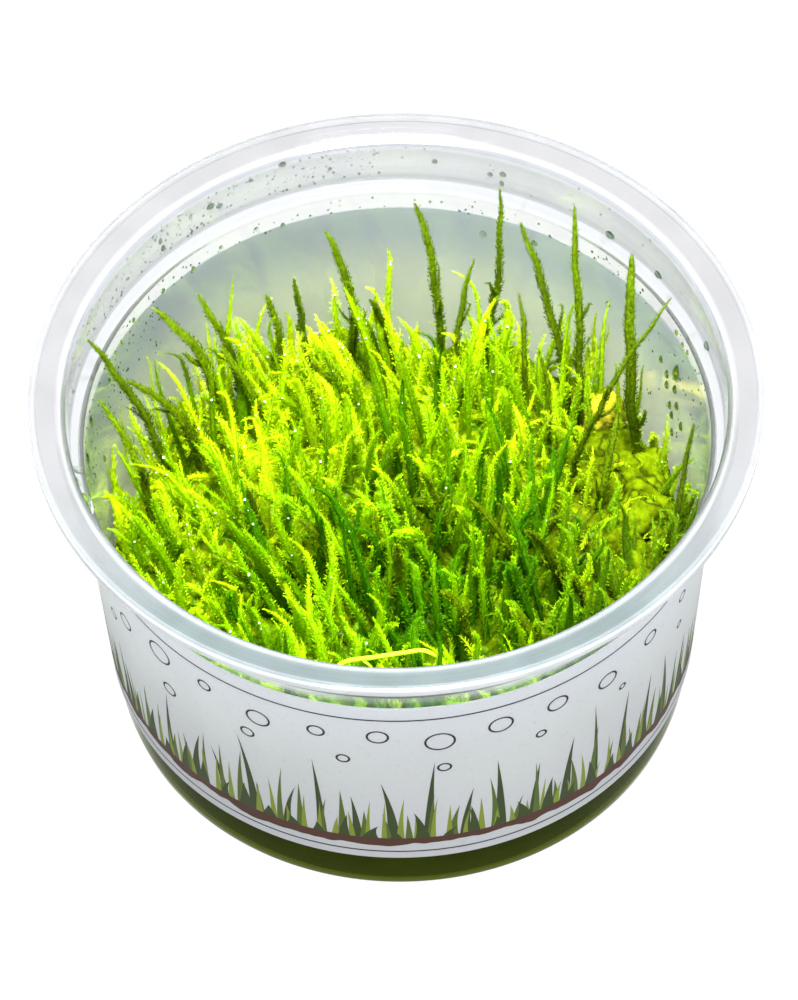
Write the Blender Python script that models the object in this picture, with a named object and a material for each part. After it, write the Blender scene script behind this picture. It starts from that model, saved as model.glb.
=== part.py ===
"""A clump of aquarium moss in the round clear tub that it was grown in, with the lid off.

The tub stands on z = 0 with its axis on Z, and the front of its label faces -Y. Sizes are in metres.
"""

import math
import random

import bmesh
import bpy
from mathutils import Vector, noise

MM = 0.001

# Tub
TUB_HEIGHT = 62 * MM
RIM_RADIUS = 50.5 * MM
RIM_THICK = 0.9 * MM
RIM_LIP = 1.5 * MM
RIM_CREASE_RADIUS = 47.3 * MM
RIM_CREASE_DROP = 0.75 * MM
RIM_INNER_DROP = 1.35 * MM
COLLAR_RADIUS = 45.1 * MM
COLLAR_FLARE = 0.3 * MM
COLLAR_THICK = 0.75 * MM
LEDGE_TOP = 53.9 * MM
LEDGE_FALL = 1.1 * MM
WALL_FOOT_RADIUS = 40.3 * MM
WALL_TAPER = math.radians(4.0)
WALL_THICK = 0.7 * MM
FLOOR_THICK = 0.9 * MM
FOOT_ROUND = 4.5 * MM
TUB_STEPS = 56

# Label
LABEL_BOTTOM = 10.3 * MM
LABEL_TOP = 49.1 * MM
LABEL_THICK = 0.2 * MM
LABEL_SEAM_AT = math.radians(184)
LABEL_SEAM_WIDTH = 1.2 * MM
LABEL_STEPS = 54

# Gel
GEL_TOP = 9.6 * MM
GEL_CREEP = 0.5 * MM
GEL_STEPS = 40

# Moss mat, a honeycomb of short shoots grown together
MAT_BOTTOM = 9.9 * MM
MAT_RADIUS = 39.4 * MM
MAT_CELL = 6.3 * MM
MAT_JITTER = 0.6 * MM
MAT_TURF = 25 * MM
MAT_TURF_SWING = 3 * MM
CANOPY = 39 * MM
CANOPY_SWING = 4.5 * MM
CANOPY_FRONT_FALL = 4 * MM

# Shoots that stand out of the mat
SHOOT_SIDES = 6
SHOOT_RINGS = 6
SHOOT_RADIUS = 1.05 * MM
SHOOT_TIP = 0.35 * MM
STAND_OFF = 0.3 * MM

# Each row is foot x and y, tip x, y and z, and thickness, in millimetres and as a share of SHOOT_RADIUS
STANDING_SHOOTS = [
    (-36, 14, -42.4, 12.5, 59.5, 0.9),
    (-37, 6, -41.3, 9.5, 50, 1.0),
    (-32, 17, -37.6, 14.5, 48, 1.1),
    (-29, 23, -33.6, 24.0, 52, 1.5),
    (-20, 27, -27.6, 28.0, 50, 1.0),
    (-22, 20, -24.6, 22.5, 45, 0.9),
    (-15, 29, -18.0, 29.0, 48, 1.1),
    (-10, 33, -14.0, 32.0, 48, 0.9),
    (-6, 36, -9.4, 35.5, 54, 1.1),
    (-3, 31, -3.4, 31.0, 44, 1.0),
    (3, 36, 3.3, 36.8, 58, 1.1),
    (7, 30, 11.4, 33.0, 50, 1.0),
    (13, 30, 15.2, 37.4, 60, 0.9),
    (26, 27, 18.0, 32.8, 58, 1.1),
    (17, 24, 17.6, 29.0, 47, 1.0),
    (29, 26, 25.6, 34.0, 60, 1.2),
    (22, 20, 20.2, 23.0, 42, 0.9),
    (35, 15, 33.2, 25.0, 60, 1.5),
    (29, 12, 38.4, 18.6, 58, 0.8),
    (38, -3, 41.2, 4.6, 47.5, 1.1),
    (28, 5, 31.0, 12.0, 41, 1.0),
    (-17, -1, -21.0, -1.5, 43, 1.1),
    (-9, -5, -14.0, -7.0, 43, 1.1),
    (-20, -12, -26.0, -12.0, 42, 1.1),
    (-2, -10, -0.4, -14.0, 46, 1.1),
    (7, 1, 3.2, -1.0, 45, 1.0),
    (14, -8, 9.4, -6.0, 46, 1.0),
    (21, -7, 17.4, -9.0, 42, 1.1),
    (8, -18, 5.6, -20.0, 43, 1.0),
    (18, -19, 15.8, -21.0, 40, 1.0),
    (26, -12, 23.8, -14.0, 38, 0.9),
]

# The bright shoot that arches over at the front
ARCH_ROUTE = [
    (-9.5, -30.0, 33.0),
    (-8.0, -29.4, 37.8),
    (-4.0, -28.8, 40.0),
    (1.0, -28.2, 41.2),
    (4.4, -28.8, 40.2),
    (6.6, -29.8, 36.4),
    (7.4, -30.6, 31.5),
]
ARCH_FOOT = (-10.5, -30.5)
ARCH_RADIUS = 0.65 * MM

TUB_COLOUR = (0.86, 0.90, 0.93, 1)
LABEL_COLOUR = (0.78, 0.80, 0.81, 1)
GEL_COLOUR = (0.10, 0.15, 0.02, 1)
MAT_COLOUR = (0.20, 0.42, 0.02, 1)
SHOOT_COLOUR = (0.12, 0.30, 0.01, 1)
ARCH_COLOUR = (0.55, 0.85, 0.02, 1)


def make_material(name, colour, roughness, see_through=0.0):
    material = bpy.data.materials.new(name)
    material.use_nodes = True
    shader = material.node_tree.nodes["Principled BSDF"]
    shader.inputs["Base Color"].default_value = colour
    shader.inputs["Roughness"].default_value = roughness
    shader.inputs["Metallic"].default_value = 0.0
    shader.inputs["Transmission Weight"].default_value = see_through
    material.diffuse_color = colour
    return material


def add_object(name, mesh, material):
    body = bpy.data.objects.new(name, mesh)
    body.data.materials.append(material)
    bpy.context.scene.collection.objects.link(body)
    return body


def wall_radius(height):
    """Outer radius of the tapered wall at a height over the floor."""
    return WALL_FOOT_RADIUS + height * math.tan(WALL_TAPER)


def arc(radius, height, size, start, end, steps):
    """Points of a round corner about (radius, height), from one angle to another."""
    turns = [start + (end - start) * i / steps for i in range(steps + 1)]
    return [(radius + size * math.cos(a), height + size * math.sin(a)) for a in turns]


def foot_corner(inset, start, end, steps):
    """The rounded corner at the foot of the wall, moved in by the wall's thickness or more."""
    middle = wall_radius(FOOT_ROUND) - FOOT_ROUND
    return arc(middle, FOOT_ROUND, FOOT_ROUND - inset, start, end, steps)


def revolve(name, profile, steps, material):
    """A turned piece. Its profile begins and ends on the axis and runs down on its outer side."""
    mesh = bpy.data.meshes.new(name)
    mesh.from_pydata([(r, 0, z) for r, z in profile], [(i, i + 1) for i in range(len(profile) - 1)], [])
    body = add_object(name, mesh, material)
    screw = body.modifiers.new("turn", "SCREW")
    screw.axis = "Z"
    screw.steps = steps
    screw.render_steps = steps
    screw.use_merge_vertices = True
    screw.merge_threshold = 0.0001
    screw.use_smooth_shade = True
    return body


def tub():
    """The tub: a thin tapered wall, a ledge, a collar and a flat rim with a short lip."""
    floor = FLOOR_THICK - FOOT_ROUND
    ledge_foot = LEDGE_TOP - LEDGE_FALL
    inner = [(0, FLOOR_THICK)]
    inner += foot_corner(WALL_THICK, math.asin(floor / (FOOT_ROUND - WALL_THICK)), 0, 3)
    inner += [
        (wall_radius(ledge_foot) - WALL_THICK, ledge_foot),
        (COLLAR_RADIUS, LEDGE_TOP),
        (COLLAR_RADIUS + COLLAR_FLARE, TUB_HEIGHT - RIM_INNER_DROP - 0.5 * MM),
        (COLLAR_RADIUS + 2 * COLLAR_FLARE, TUB_HEIGHT - RIM_INNER_DROP),
    ]
    rim = [
        (RIM_CREASE_RADIUS, TUB_HEIGHT - RIM_CREASE_DROP),
        (RIM_RADIUS - 0.3 * MM, TUB_HEIGHT),
        (RIM_RADIUS, TUB_HEIGHT - 0.3 * MM),
        (RIM_RADIUS, TUB_HEIGHT - RIM_LIP),
        (RIM_RADIUS - RIM_THICK, TUB_HEIGHT - RIM_LIP),
        (RIM_RADIUS - RIM_THICK, TUB_HEIGHT - RIM_THICK),
        (RIM_CREASE_RADIUS, TUB_HEIGHT - RIM_CREASE_DROP - RIM_THICK),
    ]
    collar_outside = COLLAR_RADIUS + COLLAR_THICK
    outer = [
        (collar_outside + 2 * COLLAR_FLARE, TUB_HEIGHT - RIM_INNER_DROP - RIM_THICK),
        (collar_outside + COLLAR_FLARE, TUB_HEIGHT - RIM_INNER_DROP - RIM_THICK - 0.5 * MM),
        (collar_outside, LEDGE_TOP - 0.3 * MM),
        (wall_radius(ledge_foot), ledge_foot - 0.3 * MM),
    ]
    outer += foot_corner(0, 0, -math.pi / 2, 4)
    outer += [(0, 0)]
    return revolve("tub", inner + rim + outer, TUB_STEPS, make_material("clear_plastic", TUB_COLOUR, 0.2, 0.8))


def label():
    """A strip wrapped round the wall, with its two ends meeting at a narrow seam."""
    half_seam = LABEL_SEAM_WIDTH / 2 / wall_radius(LABEL_BOTTOM)
    start = LABEL_SEAM_AT + half_seam
    sweep = 2 * math.pi - 2 * half_seam
    section = []
    for height in (LABEL_BOTTOM, LABEL_TOP):
        inside = wall_radius(height) + STAND_OFF
        section.append((inside, inside + LABEL_THICK, height))
    (low_in, low_out, low), (high_in, high_out, high) = section
    corners = [(high_in, high), (high_out, high), (low_out, low), (low_in, low)]
    bm = bmesh.new()
    rings = []
    for i in range(LABEL_STEPS + 1):
        turn = start + sweep * i / LABEL_STEPS
        rings.append([bm.verts.new((r * math.cos(turn), r * math.sin(turn), z)) for r, z in corners])
    skin_between(bm, rings)
    bm.faces.new(rings[0])
    bm.faces.new(rings[-1][::-1])
    return finish("label", bm, make_material("label_film", LABEL_COLOUR, 0.5))


def gel():
    """The set culture gel on the floor of the tub, which creeps a little up the wall."""
    inset = WALL_THICK + STAND_OFF
    bottom = FLOOR_THICK + STAND_OFF
    side = [(wall_radius(GEL_TOP + GEL_CREEP) - inset, GEL_TOP + GEL_CREEP)]
    side += foot_corner(inset, 0, math.asin((bottom - FOOT_ROUND) / (FOOT_ROUND - inset)), 3)
    profile = [(0, GEL_TOP), (MAT_RADIUS + 0.1 * MM, GEL_TOP)] + side + [(0, bottom)]
    return revolve("culture_gel", profile, GEL_STEPS, make_material("gel", GEL_COLOUR, 0.3, 0.5))


def skin_between(bm, rings):
    """Quads between each two rings of points that follow each other, facing out."""
    for below, above in zip(rings, rings[1:]):
        for i in range(len(below)):
            j = (i + 1) % len(below)
            bm.faces.new((below[i], below[j], above[j], above[i]))


def finish(name, bm, material):
    """Turns a bmesh into a smooth shaded object whose faces all point out."""
    bmesh.ops.recalc_face_normals(bm, faces=bm.faces)
    mesh = bpy.data.meshes.new(name)
    bm.to_mesh(mesh)
    bm.free()
    mesh.shade_smooth()
    mesh.set_sharp_from_angle(angle=math.radians(50))
    return add_object(name, mesh, material)


def turf_height(x, y):
    """Height of the dense turf between the shoots."""
    return MAT_TURF + MAT_TURF_SWING * noise.noise(Vector((x, y, 0)) / (14 * MM))


def lean_at(x, y):
    """How far a shoot leans for each unit of its height: out to the left, nearly upright elsewhere."""
    sideways = 0.20 * x / MAT_RADIUS - 0.12 + 0.10 * noise.noise(Vector((x, y, 1)) / (20 * MM))
    backward = 0.06 * y / MAT_RADIUS + 0.10 * noise.noise(Vector((x, y, 2)) / (20 * MM))
    return Vector((sideways, backward, 0))


def honeycomb():
    """Middles of the six-sided cells that fill the mat, row by row."""
    row_step = MAT_CELL * math.sqrt(3) / 2
    rows = int(MAT_RADIUS / row_step) + 1
    middles = []
    for row in range(-rows, rows + 1):
        for column in range(-rows, rows + 1):
            middle = Vector((MAT_CELL * (column + 0.5 * (row % 2)), row_step * row, 0))
            if middle.length < MAT_RADIUS - 0.42 * MAT_CELL:
                middles.append(middle)
    return middles


def reserve(middles, wanted):
    """The free cell nearest to each wanted place, so that each standing shoot has a cell of its own."""
    free = list(range(len(middles)))
    taken = []
    for x, y in wanted:
        place = Vector((x, y, 0)) * MM
        nearest = min(free, key=lambda cell: (middles[cell] - place).length)
        free.remove(nearest)
        taken.append(nearest)
    return taken


def cell_faces(bm, middles, draw):
    """One face for each cell, on points that neighbouring cells share. The outermost points lie on a circle."""
    reach = MAT_CELL / math.sqrt(3)
    shared = {}
    uses = {}
    outlines = []
    for middle in middles:
        keys = []
        for k in range(6):
            turn = math.radians(30 + 60 * k)
            corner = middle + reach * Vector((math.cos(turn), math.sin(turn), 0))
            key = (round(corner.x / MM), round(corner.y / MM))
            shared.setdefault(key, corner)
            uses[key] = uses.get(key, 0) + 1
            keys.append(key)
        outlines.append(keys)
    points = {}
    for key, corner in shared.items():
        place = corner.copy()
        if uses[key] < 3:
            place = place.normalized() * MAT_RADIUS
        else:
            place += MAT_JITTER * Vector((draw.uniform(-1, 1), draw.uniform(-1, 1), 0))
        place.z = turf_height(place.x, place.y)
        points[key] = bm.verts.new(place)
    return [bm.faces.new([points[key] for key in keys]) for keys in outlines]


def grow_face(bm, face, shrink, shift):
    """Extrudes one face alone, shrinks it about its middle and moves it."""
    grown = bmesh.ops.extrude_discrete_faces(bm, faces=[face])["faces"][0]
    middle = grown.calc_center_median()
    for vert in grown.verts:
        vert.co = middle + (vert.co - middle) * shrink + shift
    return grown


def level_pad(bm, face, height):
    """A small level pad in a cell, on which a separate shoot stands."""
    pad = grow_face(bm, face, 0.55, Vector((0, 0, 0)))
    for vert in pad.verts:
        vert.co.z = height


def short_shoot(bm, face, draw):
    """A leaning pointed shoot that grows out of one cell of the mat."""
    middle = face.calc_center_median()
    top = CANOPY + CANOPY_SWING * noise.noise(Vector((middle.x, middle.y, 3)) / (9 * MM))
    top += draw.uniform(-1, 1) * 2 * MM + CANOPY_FRONT_FALL * min(0, middle.y) / MAT_RADIUS
    rise = top - middle.z
    lean = lean_at(middle.x, middle.y) * rise
    limit = MAT_RADIUS + 0.4 * MM
    tip_flat = Vector((middle.x, middle.y, 0)) + lean
    if tip_flat.length > limit:
        lean -= tip_flat.normalized() * (tip_flat.length - limit)
    up = Vector((0, 0, rise))
    face = grow_face(bm, face, 0.78, 0.12 * up)
    face = grow_face(bm, face, 0.62, 0.50 * up + 0.45 * lean)
    tip = middle + up + lean
    peak = bmesh.ops.poke(bm, faces=[face])["verts"][0]
    peak.co = tip


def close_mat(bm):
    """Carries the open edge of the turf straight down and closes it with a level base."""
    edges = [edge for edge in bm.edges if edge.is_boundary]
    skirt = bmesh.ops.extrude_edge_only(bm, edges=edges)["geom"]
    for vert in (item for item in skirt if isinstance(item, bmesh.types.BMVert)):
        vert.co.z = MAT_BOTTOM
    base = [item for item in skirt if isinstance(item, bmesh.types.BMEdge)]
    bmesh.ops.contextual_create(bm, geom=base)


def mat(middles, taken, draw):
    """The dense mat: turf, pads under the separate shoots and a short shoot in every other cell."""
    bm = bmesh.new()
    faces = cell_faces(bm, middles, draw)
    for cell, face in enumerate(faces):
        if cell in taken:
            level_pad(bm, face, pad_height(middles[cell]))
        else:
            short_shoot(bm, face, draw)
    close_mat(bm)
    return finish("moss_mat", bm, make_material("dense_moss", MAT_COLOUR, 0.6))


def pad_height(middle):
    return turf_height(middle.x, middle.y) + 0.8 * MM


def bezier(start, bend, end, share):
    """A point on the curve that leaves start towards bend and arrives at end."""
    return (1 - share) ** 2 * start + 2 * share * (1 - share) * bend + share**2 * end


def tube(name, path, radii, material):
    """A closed tapering stem of SHOOT_SIDES sides along a path, with a level foot and a pointed tip."""
    bm = bmesh.new()
    rings = []
    for i, (point, radius) in enumerate(zip(path[:-1], radii)):
        along = (path[i + 1] - path[max(i - 1, 0)]).normalized() if i else Vector((0, 0, 1))
        side = along.cross(Vector((0, -1, 0))).normalized()
        across = side.cross(along)
        ring = []
        for k in range(SHOOT_SIDES):
            turn = 2 * math.pi * k / SHOOT_SIDES
            ring.append(bm.verts.new(point + radius * (math.cos(turn) * side + math.sin(turn) * across)))
        rings.append(ring)
    skin_between(bm, rings)
    bm.faces.new(rings[0][::-1])
    tip = bm.verts.new(path[-1])
    for i in range(SHOOT_SIDES):
        bm.faces.new((rings[-1][i], rings[-1][(i + 1) % SHOOT_SIDES], tip))
    return finish(name, bm, material)


def standing_shoot(number, row, middle, material):
    """A single long shoot: upright at its foot, then bent towards its tip."""
    tip = Vector(row[2:5]) * MM
    foot = Vector((middle.x, middle.y, pad_height(middle) + STAND_OFF))
    bend = Vector((foot.x, foot.y, foot.z + 0.55 * (tip.z - foot.z)))
    path = [bezier(foot, bend, tip, i / SHOOT_RINGS) for i in range(SHOOT_RINGS + 1)]
    thick = SHOOT_RADIUS * row[5]
    radii = [thick + (SHOOT_TIP - thick) * (i / SHOOT_RINGS) ** 2.5 for i in range(SHOOT_RINGS)]
    return tube(f"shoot_{number:02d}", path, radii, material)


def arched_shoot(middle):
    """The pale shoot that rises at the front, arches over to one side and dips again."""
    foot = Vector((middle.x, middle.y, pad_height(middle) + STAND_OFF))
    path = [foot, foot + Vector((0, 0, 6 * MM))] + [Vector(point) * MM for point in ARCH_ROUTE]
    radii = [ARCH_RADIUS] * (len(path) - 2) + [0.6 * ARCH_RADIUS]
    return tube("arched_shoot", path, radii, make_material("young_moss", ARCH_COLOUR, 0.5))


def main():
    for old in list(bpy.data.objects):
        bpy.data.objects.remove(old)
    tub()
    label()
    gel()
    middles = honeycomb()
    feet = [ARCH_FOOT] + [row[:2] for row in STANDING_SHOOTS]
    taken = reserve(middles, feet)
    mat(middles, taken, random.Random(7))
    shoot_material = make_material("moss_shoot", SHOOT_COLOUR, 0.55)
    arched_shoot(middles[taken[0]])
    for number, (row, cell) in enumerate(zip(STANDING_SHOOTS, taken[1:]), 1):
        standing_shoot(number, row, middles[cell], shoot_material)


main()
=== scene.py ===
"""A clump of aquarium moss in its round clear tub: the looks of every piece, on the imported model's frame.

Sizes are in metres. The tub stands on z = 0 with its axis on Z, and the front of its label faces -Y.
The leafy moss stands in place of the mat and of the long shoots, and reaches the tips of their solids.
"""

import math

import bpy
import numpy as np
from bpy.props import FloatProperty, FloatVectorProperty, IntProperty, PointerProperty
from mathutils import Matrix, Vector


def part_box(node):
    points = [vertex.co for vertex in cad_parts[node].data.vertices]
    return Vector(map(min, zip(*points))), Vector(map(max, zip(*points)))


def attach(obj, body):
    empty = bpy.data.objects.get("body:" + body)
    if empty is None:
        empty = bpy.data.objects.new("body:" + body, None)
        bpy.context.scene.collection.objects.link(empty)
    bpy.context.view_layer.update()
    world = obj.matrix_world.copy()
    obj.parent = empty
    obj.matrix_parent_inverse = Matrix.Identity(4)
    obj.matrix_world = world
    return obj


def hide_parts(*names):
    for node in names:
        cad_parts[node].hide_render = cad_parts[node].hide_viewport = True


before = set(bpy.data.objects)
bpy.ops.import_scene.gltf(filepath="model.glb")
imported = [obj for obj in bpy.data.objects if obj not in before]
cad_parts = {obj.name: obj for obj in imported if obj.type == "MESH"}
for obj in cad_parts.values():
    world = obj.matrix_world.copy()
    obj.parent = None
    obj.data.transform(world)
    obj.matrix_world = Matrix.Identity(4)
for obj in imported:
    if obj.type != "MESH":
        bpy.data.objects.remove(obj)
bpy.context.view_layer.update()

bl_info = {
    "name": "Moss clump in a clear tub",
    "version": (1, 0, 0),
    "blender": (4, 5, 0),
    "location": "3D View > Sidebar > Moss",
    "description": "Builds a clump of leafy moss in its tub, with a label, gel and condensation drops",
    "category": "Add Mesh",
}

MM = 0.001

# Driving sizes, read from the frame
RIM_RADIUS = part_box("tub")[1].x
TUB_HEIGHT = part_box("tub")[1].z
LABEL_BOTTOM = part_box("label")[0].z
LABEL_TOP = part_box("label")[1].z
GEL_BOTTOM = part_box("culture_gel")[0].z
GEL_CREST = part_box("culture_gel")[1].z
MAT_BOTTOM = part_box("moss_mat")[0].z
MAT_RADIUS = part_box("moss_mat")[1].x
LONG_SHOOTS = sorted(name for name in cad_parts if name.startswith("shoot_"))

# The turn from one leaf to the next, and a direction that no shoot runs along, which its sides are taken from
GOLDEN_TURN = math.radians(137.5)
SIDEWAYS = np.array((0.31, -0.95, 0.05))


def length(name, default, description):
    """A property that holds a size in metres."""
    return FloatProperty(name=name, default=default, description=description, unit="LENGTH", precision=5)


def share(name, default, description):
    """A property that holds a share from 0 to 1."""
    return FloatProperty(name=name, default=default, description=description, min=0, max=1, subtype="FACTOR")


def colour(name, default, description):
    """A property that holds a colour."""
    return FloatVectorProperty(name=name, default=default, description=description, subtype="COLOR",
                               size=3, min=0, max=1)


class TubSizes(bpy.types.PropertyGroup):
    """Sizes of the tub's wall, floor, collar and rim."""

    foot_radius: length("Foot radius", 40.3 * MM, "Outer radius of the wall, carried down to the floor")
    taper: FloatProperty(name="Taper", default=math.radians(4), description="Lean of the wall outwards",
                         subtype="ANGLE")
    wall: length("Wall", 0.7 * MM, "Thickness of the wall")
    floor: length("Floor", 0.9 * MM, "Thickness of the floor")
    foot_round: length("Foot rounding", 4.5 * MM, "Radius of the rounded foot")
    ledge_height: length("Ledge height", 53.9 * MM, "Height of the ledge under the collar")
    ledge_fall: length("Ledge fall", 1.1 * MM, "How far the ledge falls towards the wall")
    collar_radius: length("Collar radius", 45.1 * MM, "Inner radius of the collar above the ledge")
    collar: length("Collar thickness", 0.75 * MM, "Thickness of the collar")
    flare: length("Collar flare", 0.3 * MM, "How far the collar opens towards the rim")
    rim: length("Rim thickness", 0.9 * MM, "Thickness of the rim")
    rim_fall: length("Rim fall", 1.35 * MM, "How far the rim's inner edge lies under its top")
    crease_radius: length("Crease radius", 47.3 * MM, "Radius of the crease in the rim")
    crease_fall: length("Crease fall", 0.75 * MM, "How far the crease lies under the rim's top")
    lip: length("Lip", 1.5 * MM, "Height of the lip that hangs from the rim")
    edge: length("Edge", 0.3 * MM, "Rounding of the rim's edges")
    steps: IntProperty(name="Steps", default=224, min=24, description="Steps round the tub")


class LabelSizes(bpy.types.PropertyGroup):
    """Sizes and colours of the label and of its printed border of grass and bubbles."""

    thick: length("Thickness", 0.2 * MM, "Thickness of the film")
    stand_off: length("Stand-off", 0.3 * MM, "Gap between the wall and the film")
    seam_at: FloatProperty(name="Seam", default=math.radians(184), subtype="ANGLE",
                           description="Where round the tub the label's ends meet")
    seam_width: length("Seam width", 1.2 * MM, "Gap between the label's ends")
    steps: IntProperty(name="Steps", default=240, min=24, description="Steps round the label")
    film: colour("Film", (0.84, 0.84, 0.88), "Colour of the unprinted film at its top")
    # The fade to the bottom is painted shade
    film_painted_shade: colour("Film fade", (0.61, 0.62, 0.655), "Colour that the film fades to at its bottom")
    # The inner side's colours are painted shade, and painted green light from the moss beside it
    inside_painted_shade: colour("Inside", (0.64, 0.68, 0.67), "Colour of the film's inner side at its top")
    inside_painted_moss_light: colour("Inside low", (0.84, 0.86, 0.73), "Colour of the film's inner side beside the moss")
    through: share("Through", 0.56, "How much light comes through the film")
    ink: colour("Ink", (0.035, 0.036, 0.04), "Colour of the printed rules and bubbles")
    earth: colour("Earth", (0.10, 0.035, 0.018), "Colour of the ground line under the grass")
    old_blade: colour("Old blade", (0.045, 0.075, 0.012), "Colour of the grass at the back")
    mid_blade: colour("Middle blade", (0.11, 0.17, 0.015), "Colour of the grass in the middle")
    new_blade: colour("New blade", (0.27, 0.34, 0.03), "Colour of the grass in front")


class MossSizes(bpy.types.PropertyGroup):
    """Sizes, numbers and colours of the moss."""

    spacing: length("Spacing", 3.3 * MM, "Distance between shoots in the mat")
    turf: length("Turf height", 24 * MM, "Height of the dense turf between the shoots")
    turf_swing: length("Turf swing", 3 * MM, "How far the turf rises and falls")
    canopy: length("Canopy height", 39.5 * MM, "Usual height of the shoots' tips")
    canopy_swing: length("Canopy swing", 4.5 * MM, "How far the canopy rises and falls")
    front_fall: length("Front fall", 4 * MM, "How much lower the canopy is at the front")
    girth: length("Shoot half width", 1.0 * MM, "Half the width of a shoot near its foot")
    flat: share("Flatness", 0.6, "Thickness of a shoot as a share of its width")
    leaf: length("Leaf length", 0.68 * MM, "Length of a leaf")
    blade: length("Leaf width", 0.25 * MM, "Width of a leaf")
    leaves_per_mm: FloatProperty(name="Leaves per millimetre", default=15.5, min=1,
                                 description="Leaves on each millimetre of a shoot")
    feathery: share("Feathery", 0.05, "Share of the shoots whose leaves are long, thin and spreading")
    litter: IntProperty(name="Litter", default=430, min=1, description="Short shoots that lie on the turf")
    wall_gap: length("Wall gap", 0.2 * MM, "Least gap between the moss and the tub")
    seed: IntProperty(name="Seed", default=11, description="Seed of the moss's growth")
    lime: colour("Lime", (0.72, 0.95, 0.008), "Colour of the youngest leaves")
    fresh: colour("Fresh", (0.44, 0.80, 0.002), "Colour of most leaves")
    deep: colour("Deep", (0.085, 0.33, 0.001), "Colour of the oldest leaves")
    stem: colour("Stem", (0.125, 0.215, 0.001), "Colour of the long shoots")
    olive: colour("Olive", (0.34, 0.46, 0.012), "Colour of the leaves at the right")
    glow: share("Glow", 0.5, "How much of a leaf's light comes through it")


class DropSizes(bpy.types.PropertyGroup):
    """Sizes and numbers of the condensation drops."""

    gap: length("Gap", 0.02 * MM, "Gap between a drop and the plastic it sits on")
    bulge: share("Bulge", 0.32, "How far a drop stands out, as a share of its width")
    seed: IntProperty(name="Seed", default=5, description="Seed of the mist of small drops")


class StageSizes(bpy.types.PropertyGroup):
    """The floor, the lights and the camera."""

    floor: length("Floor width", 6.0, "Width of the pale floor")
    floor_colour: colour("Floor", (0.01, 0.01, 0.01), "Colour of the floor's lit surface")
    floor_light: FloatProperty(name="Floor light", default=1.0, min=0,
                               description="Light from the floor, a light table")
    sky: FloatProperty(name="Sky", default=1.75, min=0, description="Strength of the even light all round")
    sky_colour: colour("Sky colour", (0.93, 0.97, 1.0), "Colour of the even light")
    key: FloatProperty(name="Key", default=2.1, min=0,
                       description="Power of the soft light overhead, in watts")
    key_spread: FloatProperty(name="Key spread", default=math.radians(40), subtype="ANGLE",
                              description="How wide the soft light overhead spreads")
    lens: FloatProperty(name="Lens", default=265.69, min=1,
                        description="Focal length in millimetres, for a longer side of 36 mm")
    distance: length("Distance", 1.01, "From the rim's centre to the camera")
    elevation: FloatProperty(name="Elevation", default=math.radians(52.408), subtype="ANGLE",
                             description="Height of the camera above the horizon")
    roll: FloatProperty(name="Roll", default=math.radians(1.4315), subtype="ANGLE",
                        description="Turn of the picture about its middle")
    aside: length("Aside", 0.014 * MM, "How far the camera stands to the right of the rim's centre")
    below: length("Below", 14.729 * MM, "How far the camera looks below the rim's centre")


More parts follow.
